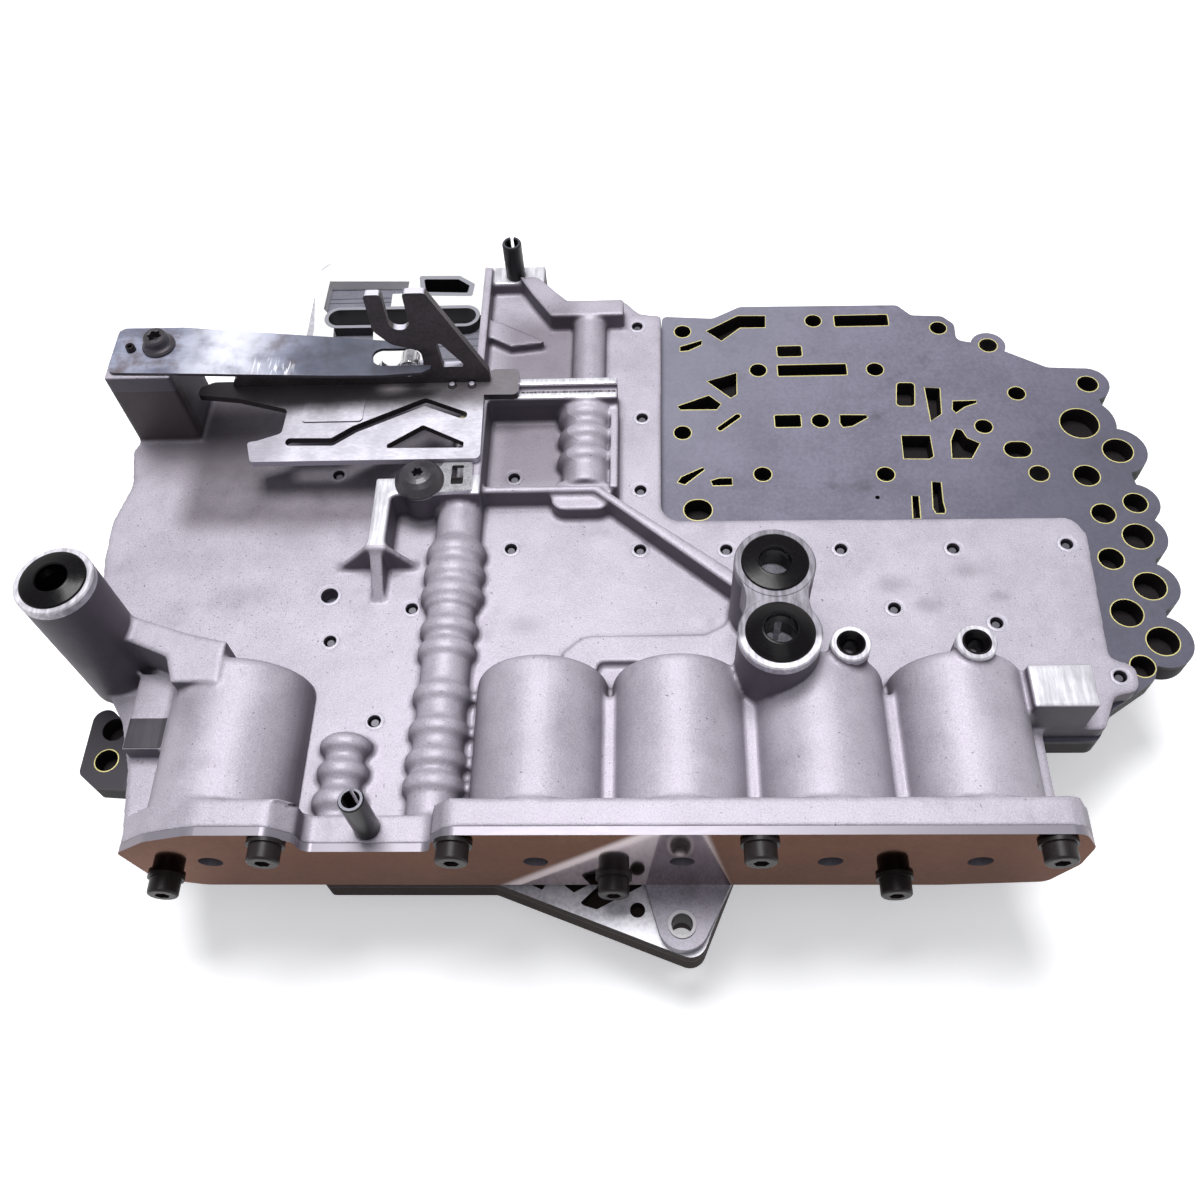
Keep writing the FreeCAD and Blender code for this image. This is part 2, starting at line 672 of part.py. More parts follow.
LOBES = [(125.7, 165.7, 13), (136.5, 152.8, 10.2), (137.4, 129.7, 8.3), (135.1, 115.7, 9.8),
         (134.5, 95.8, 9.6), (133.7, 74.9, 9.6), (132.4, 184.4, 7.9), (99.5, 204.9, 6.5)]
PORT_HOLES = [(125.7, 165.7, 6.8), (136.5, 152.8, 5.2), (137.4, 129.7, 4), (135.1, 115.7, 5),
              (134.5, 95.8, 5.2), (133.7, 74.9, 5.1), (125.3, 65.9, 3.8), (124.8, 85.6, 5.1),
              (124.3, 106.8, 4.1), (125.7, 125.4, 4), (123.5, 141.9, 4.4), (132.4, 184.4, 3.7),
              (-200.6, 46.1, 3.9), (-200.6, 35.4, 3.6)]
OPEN_PORTS = [(107.3, 143.1, 3.4), (99.5, 204.9, 3.3)]
OPEN_SLIT = rectangle(19.9, 201.3, 29.1, 206.7, 0.8)
SMALL_HOLES = [(-16, 215.6), (34.8, 219.8), (82.1, 214.5), (12.1, 194.6), (55.8, 193.8),
               (-17.1, 164.6), (33.3, 169.1), (10.9, 144.8), (54.1, 143.9), (106, 180.5),
               (91.6, 165)]
SMALL_HOLE_RADIUS = 3.1
SLITS = [
    rounded([(-6.8, 215.5), (5.7, 223.4), (16.4, 223.1), (16.1, 216.9), (6.3, 217),
             (-1.1, 210.2)]),
    rounded([(-17.1, 207.5), (-8.6, 210.7), (-8.8, 208.5), (-14, 205.5), (-17.1, 205.1)]),
    rectangle(43, 216.5, 63.5, 222.3, 0.6), rectangle(19.5, 191.4, 45.2, 196.9, 0.6),
    rectangle(16.8, 166.4, 26.2, 172.1, 0.6),
    rounded([(-7.3, 189.5), (3.9, 193.4), (3.4, 182.7), (1.2, 181)]),
    rounded([(-18.6, 177.4), (-6.9, 182.4), (-2.6, 178), (-4.2, 175.5), (-17.7, 175.7)]),
    capsule((-3.3, 166.3), (3.3, 172), 1),
    rounded([(40.6, 171.7), (50.1, 171.4), (50.6, 170.3), (44.7, 166.4), (41.3, 165.9),
             (40.4, 167.8)]),
    rounded([(63.1, 186.8, 1.4), (69.5, 186.6, 1.4), (68.1, 175.4, 1.4), (61.7, 175.6, 1.4)]),
    rounded([(73, 184.3), (78.4, 183.8), (77.3, 171.3), (73.2, 167.9)]),
    rounded([(82.3, 177.3), (90.9, 177.4), (90.7, 176.3), (86.3, 174.6), (82.6, 171.7),
             (81.7, 173.4)]),
    rounded([(61.7, 161.4), (71.8, 161.1), (71.8, 151.6), (70.4, 150.6), (61.3, 150.8)]),
    rounded([(81.5, 164.1), (83.4, 163.5), (84.9, 159.7), (89, 157.2), (85.1, 150.5),
             (78.3, 150.6), (79.1, 158.8)]),
    rounded([(-19.4, 141.8), (-18, 144.1), (-10.1, 148.3), (-9.7, 147.3), (-16.9, 140.7)]),
    rounded([(-7.6, 142.2), (-4.6, 143.3), (-0.1, 143.3), (0, 140.2), (-6.9, 140.1)]),
    rounded([(62.1, 134.2), (64.3, 134.1), (63.7, 124.5), (61.3, 124.5)]),
    rounded([(69.8, 140.3), (72.8, 139.9), (72.3, 131.7), (72.6, 127.7), (72.3, 126.6),
             (69.4, 126.6), (68.7, 128.8)]),
    capsule((100.6, 154.1), (103, 154.1), 3.5), capsule((-13, 129.5), (-12, 129.5), 4.4),
    ring(50.1, 133.8, 0.8),
]


def plate_outline():
    """Edge of the separator and transfer plates, without the lobes round the outer holes."""
    return [
        (-189, 61), (-196, 47), (-208.5, 58, 4), (-208.4, 31, 3), (-202.5, 26.3, 2),
        (-190.5, 25.5, 1), (-181.2, 58.6), (84.5, 58.6), (84.5, 40), (106, 40, 4), (113, 51, 3),
        (128, 61, 4), (137.2, 85.2), (138.4, 104.8), (142.4, 123.8), (139.1, 140.2),
        (138.6, 161.5), (135.3, 175.5), (133, 192.2), (119.4, 193.1, 5), (105.6, 201.5, 2),
        (94, 206.5), (88, 208.1, 3), (88.5, 216.4, 4), (84.3, 220.9, 3), (72.6, 221.7, 3),
        (67.9, 227.4, 3), (6.7, 228.4, 4), (-4, 222.3, 4), (-23.7, 224, 2), (-26, 200),
        (-88, 184), (-206, 178, 6), (-211, 108, 6), (-196, 76),
    ]


def through_holes(name, low, thick):
    """The holes that go through both the separator and the transfer plate."""
    gap = s.screw_radius + s.screw_gap
    rounds = OPEN_PORTS + [(x, y, gap) for x, y in SCREWS]
    return slab(name, [ring(*item) for item in rounds] + [OPEN_SLIT], low, thick)


def port_openings(name, low, thick):
    """The openings of the separator plate, which are pockets in the transfer plate."""
    small = [ring(x, y, SMALL_HOLE_RADIUS) for x, y in SMALL_HOLES]
    return slab(name, [ring(*item) for item in PORT_HOLES] + small + SLITS, low, thick)


def make_separator():
    """Steel separator plate with its bonded gasket faces."""
    low, thick = "separator_low", "separator_thick"
    parts = [slab("separator_field", [rounded(plate_outline())], low, thick)]
    for index, (x, y, radius) in enumerate(LOBES):
        parts.append(rod("separator_lobe_%d" % index, x, y, low, radius, thick))
    tools = [through_holes("separator_holes", "separator_low - 1", 4),
             port_openings("separator_ports", "separator_low - 1", 4)]
    return finish(cut("separator", fuse("separator_solid", parts), tools), "separator_plate")


def make_transfer_plate():
    """Cast plate below the separator, with pockets for the check balls."""
    low = "slab_low"
    parts = [slab("transfer_field", [rounded(plate_outline())], low, "slab_thick")]
    for index, (x, y, radius) in enumerate(LOBES):
        parts.append(rod("transfer_lobe_%d" % index, x, y, low, radius, "slab_thick"))
    block = [(-168, 64, 6), (-168, 178, 6), (-90, 182, 4), (-60, 198, 6), (40, 198, 10),
             (88, 170, 10), (94, 64, 6)]
    parts.append(slab("transfer_block", [rounded(block)], "frame_top", "block_thick + 1"))
    tools = [through_holes("transfer_holes", "slab_low - 1", 20),
             port_openings("transfer_ports", "slab_low + 1.5", 20)]
    heads = [ring(x, y, s.screw_head_radius + s.seat_gap) for x, y in SCREWS]
    tools.append(slab("head_pockets", heads, "frame_top - 1", "block_thick + 1"))
    pockets = [ring(x, y, s.ball_radius + s.ball_gap) for x, y in BALLS]
    tools.append(slab("ball_pockets", pockets, "separator_low - 2 * (ball_radius + ball_gap)",
                      20))
    return finish(cut("transfer", fuse("transfer_solid", parts), tools), "transfer_plate")


def make_balls():
    """Check balls, each loose in its pocket."""
    balls = []
    for index, (x, y) in enumerate(BALLS):
        ball = doc.addObject("Part::Sphere", "ball_%d" % index)
        bind(ball, Radius="ball_radius")
        balls.append(place(ball, x, y, "separator_low - ball_radius - 2 * ball_gap"))
    return finish(fuse("balls", balls), "check_balls")


def make_screws():
    """Screws from below that hold the transfer plate to the casting."""
    screws = []
    length = s.deck_top - 1.4 - s.slab_low
    profile = [(0, -s.screw_head_length), (s.screw_head_radius, -s.screw_head_length),
               (s.screw_head_radius, 0), (s.screw_radius, 0), (s.screw_radius, length - 1.2),
               (s.screw_radius - 0.8, length), (0, length)]
    for index, (x, y) in enumerate(SCREWS):
        screw = turned("screw_%d" % index, profile, "Z")
        screws.append(place(screw, x, y, "slab_low"))
    return finish(fuse("screws", screws), "assembly_screws")


# Solenoid module and range sensor

def make_module():
    """Solenoid module with the two plates that it hangs from and the lug at their front."""
    mid_x, mid_y = s.module_mid_x, s.module_mid_y
    half_x, half_y = s.module_length / 2, s.module_width / 2
    housing = new_body("module")
    outline = rectangle(mid_x - half_x, mid_y - half_y, mid_x + half_x, mid_y + half_y,
                        s.module_round)
    pad(housing, sketch_on(housing, "XY_Plane", "module_outline", [outline]), "module_depth",
        "module_block")
    finish(housing, "solenoid_module")
    front = [(-131.5, 2, 2), (-78.5, 2, 3), (-15.9, -21.9, 5), (-4, 5.9, 2), (30, 40, 8)]
    back = [(-88, 196, 4), (-88, 268, 6), (-120, 280, 8), (-172, 280, 8)]
    bolt_hole = ring(*LUG_BOLT, s.lug_hole)
    carrier = new_body("carrier")
    edge = front + [(30, 170, 8), (-80, 184, 4), (-172, 180, 8), (-172, 120, 10)]
    sketch = sketch_on(carrier, "XY_Plane", "carrier_outline", [rounded(edge), bolt_hole])
    pad(carrier, lift(sketch, "module_depth"), "carrier_thick", "carrier_plate")
    finish(carrier, "module_carrier")
    edge = front + [(30, 170, 8), (-80, 184, 4)] + back + [(-172, 120, 10)]
    frame = new_body("frame")
    sketch = lift(sketch_on(frame, "XY_Plane", "frame_outline", [rounded(edge)]), "frame_low")
    pad(frame, sketch, "frame_thick", "frame_plate")
    windows = [rounded([(-70.5, 3), (-63.2, -0.3, 0.4), (-61.5, 3)]),
               rounded([(-59, 3), (-53.6, -1.1, 0.4), (-46, 3)]),
               rounded([(-51.6, -4.3, 0.5), (-50.4, -5.1, 0.5), (-46.5, -6.3, 0.8),
                        (-32.8, 1, 0.5), (-34, 6, 1), (-41, 6, 1)]),
               ring(-34.2, -6.5, 2.3), bolt_hole]
    pocket(frame, sketch_on(frame, "XY_Plane", "frame_windows", windows), "frame_pierced")
    finish(frame, "module_frame")
    lug = new_body("lug")
    tip = [(-32.6, 3, 2), (-22.5, -32.6, 7.5), (-4.6, 3, 2), (-8, 20, 4), (-30, 20, 4)]
    sketch = sketch_on(lug, "XY_Plane", "lug_outline", [rounded(tip), bolt_hole])
    pad(lug, lift(sketch, "frame_top"), "lug_thick", "lug_plate")
    finish(lug, "mounting_lug")
    inner, deep = s.lug_hole - s.bush_wall, s.frame_thick + s.lug_thick
    sleeve = [(inner, 0), (s.lug_hole, 0), (s.lug_hole, deep), (s.lug_hole + 0.4, deep),
              (s.lug_hole + 0.4, deep + 0.6), (inner, deep + 0.6)]
    finish(place(turned("bush", sleeve, "Z"), *LUG_BOLT, "frame_low"), "lug_bush")


def make_sensor():
    """Range sensor behind the selector: contact board under a slotted white frame."""
    slot, bead = s.sensor_slot, s.sensor_slot + s.sensor_bead
    frame_low = "frame_top + sensor_board_thick"
    board = new_body("board")
    outline = rounded([(-164, 192, 3), (-94, 192, 3), (-94, 258, 3), (-101, 268, 3),
                       (-158, 268, 5), (-166, 258, 3)])
    pad(board, lift(sketch_on(board, "XY_Plane", "board_outline", [outline]), "frame_top"),
        "sensor_board_thick", "board_plate")
    hole = rounded([(x, y, 0.8) for x, y in SENSOR_HOLE])
    rim = rounded([(-125, 259.6, 1), (-108, 259.1, 1), (-101.4, 254.2, 1), (-102, 247.2, 1),
                   (-123.2, 248.2, 1)])
    beads = [capsule(*SENSOR_SLOT, bead - s.bolt_gap), rim]
    pad(board, lift(sketch_on(board, "XY_Plane", "board_beads", beads), "frame_top + 1"),
        "sensor_board_thick + sensor_frame_thick - 1", "board_beaded")
    pocket(board, sketch_on(board, "XY_Plane", "board_slot", [capsule(*SENSOR_SLOT, slot), hole]),
           "board_pierced")
    finish(board, "sensor_board")
    cover = new_body("sensor_frame")
    edge = [(-166, 190, 3), (-91.5, 190, 3), (-91.5, 215.1), (-91.2, 227.5, 2), (-88.5, 234.9, 2),
            (-90.3, 241), (-92.2, 253.3), (-99.4, 272.2, 3), (-113.9, 272.7, 1),
            (-117.3, 270.2, 1), (-149, 273.1), (-159.8, 272.7, 2), (-164.6, 267.6),
            (-168.2, 263.5), (-169.1, 257.6), (-165.6, 229.8)]
    sketch = sketch_on(cover, "XY_Plane", "sensor_outline", [rounded(edge)])
    pad(cover, lift(sketch, frame_low), "sensor_frame_thick", "sensor_plate")
    openings = {
        "slot": capsule(*SENSOR_SLOT, bead),
        "window_back": rounded([(-162.9, 257.8), (-129.1, 256.6), (-129.2, 249.6),
                                (-135.4, 249.4), (-135.2, 236), (-159, 236), (-163.3, 241.7)]),
        "window_front": rounded([(-157.9, 236), (-141.6, 236), (-140.6, 224.3), (-137, 198),
                                 (-155, 198)]),
        "window_right": rounded([(-120.7, 236), (-97.1, 236), (-96.6, 216), (-97, 198),
                                 (-114, 198)]),
        "hole": rounded([(-125.1, 259.7, 1), (-108, 259.2, 1), (-101.3, 254.2, 1),
                         (-101.9, 247.1, 1), (-123.3, 248.1, 1)]),
    }
    for name, outline in openings.items():
        pocket(cover, sketch_on(cover, "XY_Plane", "frame_" + name, [outline]), "cut_" + name)
    finish(cover, "range_sensor_frame")


# Spool valves

def spool(name, stations, radius, neck):
    """A spool with full lands between the stations given, and necks between the lands."""
    profile = [(0, stations[0][0])]
    for index, (start, end) in enumerate(stations):
        if index:
            profile.append((neck, start))
        profile += [(radius, start), (radius, end)]
        if index < len(stations) - 1:
            profile.append((neck, end))
    profile.append((0, stations[-1][1]))
    return turned(name, profile)


def make_manual_valve():
    """Manual spool valve with the drive pin that the selector plate moves."""
    radius = s.manual_bore - s.running_gap
    front = s.manual_front
    lands = [(front + 8, front + 18), (front + 32, front + 42), (front + 58, front + 68),
             (front + 84, front + 100)]
    body = spool("manual", lands, radius, 3.6)
    stem = turned("manual_stem", [
        (0, front + 99), (3, front + 99), (3, s.pin_y - 5), (4.2, s.pin_y - 5, 0.6),
        (4.2, s.pin_y + 4, 0.6), (0, s.pin_y + 4)])
    hole = rod("manual_pin_hole", 0, "pin_y", -10, "pin_radius", 20)
    valve = cut("manual_drilled", fuse("manual_solid", [body, stem]), [hole])
    finish(place(valve, "manual_x", 0, "axis_level"), "manual_valve")
    pin = rod("drive", "manual_x", "pin_y", "axis_level - 3", "pin_radius - 0.01",
              "plate_low - pin_gap - axis_level + 3")
    finish(pin, "manual_valve_pin")


def sprung_valve(word, x, bore, start, lands, spring_end, mouth_first):
    """A sprung spool with its spring and the plug that closes its bore."""
    radius = bore - s.running_gap
    body = spool(word + "_spool_turned", lands, radius, radius * 0.55)
    finish(place(body, x, 0, "axis_level"), word + "_valve")
    coil_start = min(start, spring_end) + 0.9
    reach = abs(spring_end - start) - 1.8
    coil = doc.addObject("Part::Helix", word + "_coil")
    coil.Radius = radius * 0.62
    coil.Height = reach
    coil.Pitch = reach / 5
    wire = doc.addObject("Part::RegularPolygon", word + "_wire")
    wire.Polygon = 4
    wire.Circumradius = 0.6
    wire.Placement = Placement(Vector(radius * 0.62, 0, 0), Rotation(Vector(1, 0, 0), 90))
    spring = doc.addObject("Part::Sweep", word + "_spring_swept")
    spring.Sections = [wire]
    spring.Spine = (coil, ["Edge1"])
    spring.Solid = True
    spring.Frenet = True
    finish(place(spring, x, coil_start, "axis_level", ALONG["Y"]), word + "_valve_spring")
    plug_start = mouth_first
    profile = [(0, plug_start), (radius, plug_start, 0.6),
               (radius, plug_start + s.plug_length, 0.6), (0, plug_start + s.plug_length)]
    finish(place(turned(word + "_plug_turned", profile), x, 0, "axis_level"),
           word + "_valve_plug")


# Selector plate, fork and detent

def make_selector():
    """Pressed selector plate with the cam slot that moves the manual valve."""
    body = new_body("selector")
    comb_back = s.fork_front + s.plate_thick
    outline = [(-166.5, 136.9, 1.5), (-86.9, 136.9, 2), (-87.5, 165.6), (-75.4, 165.4, 2),
               (-75.4, 177.6, 2), (-85.9, 177.6, 2), (-86, comb_back), (-186, comb_back, 4),
               (-190.5, 171.6, 1), (-191, 168, 1), (-176, 166, 3), (-157, 160.5, 2),
               (-157.4, 149.5, 2), (-165.5, 146.3, 1), (-169, 145.6, 1)]
    sketch = lift(sketch_on(body, "XY_Plane", "selector_outline", [rounded(outline)]), "plate_low")
    pad(body, sketch, "plate_thick", "selector_plate_pad")
    half = s.slot_width / 2
    for index in range(len(SLOT_ROUTE) - 1):
        way = capsule(SLOT_ROUTE[index], SLOT_ROUTE[index + 1], half)
        pocket(body, sketch_on(body, "XY_Plane", "cam_slot_%d" % index, [way]),
               "cam_slot_cut_%d" % index)
    window = rounded([(-119.6, 142, 0.6), (-119.6, 143.6, 0.6), (-107.9, 152.1, 1),
                      (-93, 144.1, 0.6), (-93, 141.6, 0.6)])
    pocket(body, sketch_on(body, "XY_Plane", "window", [window]), "window_cut")
    raised = rectangle(-151, 154, -129.5, 165.3, 1.5)
    pad(body, lift(sketch_on(body, "XY_Plane", "raised_field", [raised]), "plate_low"),
        "plate_thick + 0.6", "raised_pad")
    lip_front = s.groove_front + s.slide_gap
    lip = rectangle(-85, lip_front, -76, s.groove_front + s.groove_width - s.slide_gap)
    sketch = lift(sketch_on(body, "XY_Plane", "lip", [lip]), "rail_top - groove_depth + slide_gap")
    lipped = pad(body, sketch, "groove_depth + slide_gap", "lip_pad")
    body.Tip = lipped
    return finish(body, "selector_plate")


def new_notches(body, radius):
    """One detent notch in the comb, repeated at the detent pitch."""
    sketch = sketch_on(body, "XZ_Plane", "notch", [ring(s.roller_x, s.roller_level, radius)])
    lift(sketch, "-fork_front - plate_thick / 2")
    first = body.newObject("PartDesign::Pocket", "notch_cut")
    first.Profile = sketch
    first.Midplane = True
    bind(first, Length="plate_thick * 2")
    doc.recompute()
    row = body.newObject("PartDesign::LinearPattern", "notch_row")
    row.Originals = [first]
    row.Direction = (sketch, ["H_Axis"])
    row.Reversed = True
    row.Occurrences = 6
    bind(row, Length="detent_pitch * 5")
    return row


def make_fork():
    """Upright plate welded on the selector: detent comb on the left, shift fork on the right."""
    body = new_body("fork")
    base, rise = s.plate_top, s.plate_top - 35
    crest = s.roller_level - 0.6
    left = -122.5
    slot_left = -116.5
    slot_right = slot_left + s.fork_gap
    outline = [(-178.5, base), (-177.5, base + 3, 2), (-172, crest, 4), (-107.8, crest, 0.6),
               (-107.8, rise + 51, 3), (-117.5, rise + 54.5, 6),
               (left, rise + 61, 5), (left, rise + 77, 1.5), (slot_left, rise + 77, 1.5),
               (slot_left, rise + 61.2, s.fork_gap / 2 - 0.1),
               (slot_right, rise + 61.2, s.fork_gap / 2 - 0.1),
               (slot_right, rise + 77.4, 1.5), (-102, rise + 77.4, 2), (-85.5, rise + 40, 3),
               (-85.5, base)]
    hole = rounded([(-102.2, rise + 57, 1), (-93, rise + 43, 1), (-101.3, rise + 43, 1)])
    sketch = sketch_on(body, "XZ_Plane", "fork_outline", [rounded(outline), hole])
    lift(sketch, "-fork_front - plate_thick")
    pad(body, sketch, "plate_thick", "fork_pad")
    body.Tip = new_notches(body, s.roller_radius + s.notch_gap)
    finish(body, "shift_fork")
    beads = []
    for index, x in enumerate(WELDS):
        profile = [(0, s.plate_top), (WELD_RADIUS, s.plate_top),
                   (WELD_RADIUS * 0.6, s.plate_top + 1.2), (0, s.plate_top + 1.4)]
        beads.append(place(turned("weld_%d" % index, profile, "Z"), x,
                           s.fork_front - WELD_RADIUS - 0.05, 0))
    finish(fuse("welds", beads), "fork_welds")


def make_detent():
    """Leaf spring on the casting's block, with the roller that drops into the comb."""
    low = s.spring_block_top
    tip = s.roller_level + s.roller_pin_radius
    thick = s.leaf_thick
    side = slab("leaf_side", [rounded([
        (-216, low), (-192, low, 20), (-121, tip, 20), (-104, tip), (-104, tip + thick),
        (-121, tip + thick, 20), (-192, low + thick, 20), (-216, low + thick)])], 150, 40, "Y")
    middle = s.fork_front + s.plate_thick / 2
    half = s.leaf_slot / 2
    slot_end = s.roller_x - 13
    plan = slab("leaf_plan", [rounded([
        (-215, 161.5, 3), (-192, 160.6, 20), (-140, 163, 40), (-107.6, 165.3, 2),
        (-104.6, 167, 1), (-104.6, middle - half), (slot_end, middle - half, half - 0.1),
        (slot_end, middle + half, half - 0.1), (-104.6, middle + half), (-104.6, 178.8, 1),
        (-107.6, 180.4, 2), (-140, 181.2, 40), (-192, 182.3, 20), (-215, 182.5, 3)])],
        low - 30, 60)
    screw_hole = rod("leaf_screw_hole", -199, 173.5, low - 10, "detent_screw_radius + bolt_gap", 30)
    pin_hole = rod("leaf_pin_hole", -208.5, 172, low - 10, 1.65, 30)
    common = doc.addObject("Part::Common", "leaf_formed")
    common.Base = side
    common.Tool = plan
    finish(cut("leaf", common, [screw_hole, pin_hole]), "detent_spring")
    hub = s.roller_pin_radius + s.running_gap
    front = middle - s.roller_width / 2
    tyre = [(hub, front), (s.roller_radius, front, 0.4),
            (s.roller_radius, front + s.roller_width, 0.4), (hub, front + s.roller_width)]
    finish(place(turned("roller", tyre), s.roller_x, 0, "roller_level"), "detent_roller")
    finish(rod("roller_axle", "roller_x", middle - half - 2, "roller_level",
               "roller_pin_radius", 2 * half + 4, "Y"), "roller_pin")
    top = low + thick
    head = [(0, top - 10), (s.detent_screw_radius, top - 10), (s.detent_screw_radius, top),
            (6, top), (6, top + 1.2), (4.7, top + 1.2), (4.7, top + 5.2, 1), (0, top + 5.2)]
    screw = turned("detent_screw_turned", head, "Z")
    hexagon = rounded([(2.4 * cos(pi * n / 3), 2.4 * sin(pi * n / 3)) for n in range(6)])
    sketch = sketch_on(screw, "XY_Plane", "detent_socket", [hexagon])
    sketch.AttachmentOffset = Placement(Vector(0, 0, top + 5.2), Rotation())
    recess = screw.newObject("PartDesign::Pocket", "detent_recess")
    recess.Profile = sketch
    recess.Length = 2.5
    finish(place(screw, -199, 173.5, 0), "detent_screw")
    locator = [(0.8, low - 5), (1.55, low - 5), (1.55, low + 3), (0.8, low + 3)]
    finish(place(turned("locator", locator, "Z"), -208.5, 172, 0), "spring_locating_pin")


def make_keeper():
    """Domed shoulder screw that holds the plate down, and the bracket beneath it."""
    low, thick = s.rail_top, 1.5
    body = new_body("keeper")
    outline = [(-114, 122.4, 5), (-89, 124.4, 1.5), (-89.5, 136.3, 1), (-99.5, 136.3, 1),
               (-100, 134.6, 1), (-113, 134.6, 5)]
    slot = rectangle(-96.4, 127, -92.2, 135, 0.6)
    hole = ring(-107, 128.6, s.detent_screw_radius + s.bolt_gap)
    sketch = lift(sketch_on(body, "XY_Plane", "keeper_outline", [rounded(outline), slot, hole]),
                  "rail_top")
    pad(body, sketch, thick, "keeper_pad")
    finish(body, "keeper_bracket")
    under = s.plate_top + s.slide_gap
    dome = [(0, low - 10), (s.detent_screw_radius, low - 10), (s.detent_screw_radius, low + thick),
            (5.4, low + thick), (5.4, under), (8.4, under, 0.3), (8.4, under + 1.2, 1.1),
            (4.6, under + 4.4, 3), (0, under + 4.6)]
    screw = turned("dome_turned", dome, "Z")
    finish(place(screw, -107, 128.6, 0), "plate_screw")


# Seals and locating pins

def lipped_seal(name, label, x, y, top, outer, depth, inner):
    """A rubber port seal with a funnel towards its hole."""
    profile = [(inner + 0.8, top - depth), (outer, top - depth), (outer, top - 0.6),
               (outer - 1.8, top - 0.6), (inner + 1.6, top - 3), (inner, top - 4.4),
               (inner, top - depth + 1.4)]
    return finish(place(turned(name, profile, "Z"), x, y, 0), label)


def make_seals():
    """Seals of the oil ports."""
    lipped_seal("front_seal", "front_port_seal", s.port_x, s.port_front_y, s.port_top,
                s.port_seal_radius, s.port_seal_depth, 5)
    lipped_seal("back_seal", "rear_port_seal", s.port_x, s.port_back_y, s.port_top,
                s.port_seal_radius, s.port_seal_depth, 5)
    lipped_seal("tube_seal_turned", "tube_seal", s.tube_x, s.tube_y, s.tube_top,
                s.tube_seal_radius, s.tube_seal_depth, 4)
    caps = []
    for index, x in enumerate((29.5, 66)):
        top, radius = s.small_port_top, s.small_port_bore
        profile = [(1.4, top - 7), (radius, top - 7), (radius, top - 0.8), (radius - 0.9, top - 0.8),
                   (1.9, top - 2.4), (1.4, top - 2.4)]
        caps.append(place(turned("small_seal_%d" % index, profile, "Z"), x, 58.5, 0))
    finish(fuse("small_seals", caps), "small_port_seals")


def make_roll_pins():
    """Slotted roll pins that locate the body, slightly narrower where they are pressed in."""
    pins = {
        "front": (FRONT_ROLL_PIN, s.cover_high - s.ledge_drop, s.front_pin_stand),
        "rear": (REAR_ROLL_PIN, s.deck_top + s.shelf_height, s.rear_pin_stand),
    }
    for name, ((x, y), foot, stand) in pins.items():
        low, high = foot - s.roll_pin_sink + s.bolt_gap, foot + stand
        outer, inner = s.roll_pin_radius, s.roll_pin_radius - s.roll_pin_wall
        stub = outer - s.roll_pin_step
        tube = turned(name + "_roll_turned", [
            (inner, low), (stub, low), (stub, foot), (outer, foot),
            (outer, high - 1), (outer - 0.4, high), (inner, high)], "Z")
        slit = box(name + "_roll_slit", -0.6, -2 * s.roll_pin_radius, low - 1, 1.2,
                   2 * s.roll_pin_radius, high - low + 2)
        pin = cut(name + "_roll", tube, [slit])
        finish(place(pin, x, y, 0), name + "_roll_pin")


make_casting()
make_bosses()
make_separator()
make_transfer_plate()
make_balls()
make_screws()
make_module()
make_sensor()
make_cover()
make_bolts()
make_accumulators()
make_manual_valve()
SHORT_SPRING = s.short_end - 17
sprung_valve("short", s.short_x, s.short_bore, SHORT_SPRING,
             [(SHORT_SPRING + 0.3, SHORT_SPRING + 5), (SHORT_SPRING + 8, SHORT_SPRING + 13.6)],
             s.cover_thick + 6.5, s.cover_thick + 0.5)
LONG_SPAN = s.long_mouth - s.long_front
LONG_SPRING = s.long_front + 0.724 * LONG_SPAN
sprung_valve("long", s.long_x, s.long_bore, LONG_SPRING,
             [(s.long_front + 0.3, s.long_front + 0.15 * LONG_SPAN),
              (s.long_front + 0.25 * LONG_SPAN, s.long_front + 0.37 * LONG_SPAN),
              (s.long_front + 0.49 * LONG_SPAN, LONG_SPRING - 0.3)],
             s.long_mouth - 6.5, s.long_mouth - s.plug_length - 1)
make_selector()
make_fork()
make_detent()
make_keeper()
make_seals()
make_roll_pins()
doc.recompute()

# Every object must be sound before anything is written

for thing in doc.Objects:
    if "Invalid" in thing.State or "Error" in thing.State:
        raise RuntimeError("%s did not build: %s" % (thing.Label, thing.State))
os.makedirs("parts", exist_ok=True)
for piece in PIECES:
    shape = piece.Shape
    if shape.isNull() or not shape.isValid() or not shape.Solids:
        raise RuntimeError(piece.Label + " has no sound shape")
for piece in PIECES:
    piece.Shape.exportStep("parts/%s.step" % piece.Label)
print("%d pieces written" % len(PIECES))
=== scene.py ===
# Looks of the valve body: camera, light, procedural materials and the fine forms of its pieces

from collections import namedtuple
from math import atan2, cos, pi, radians, sin

import bmesh
import bpy
import numpy as np
from mathutils import Matrix, Vector


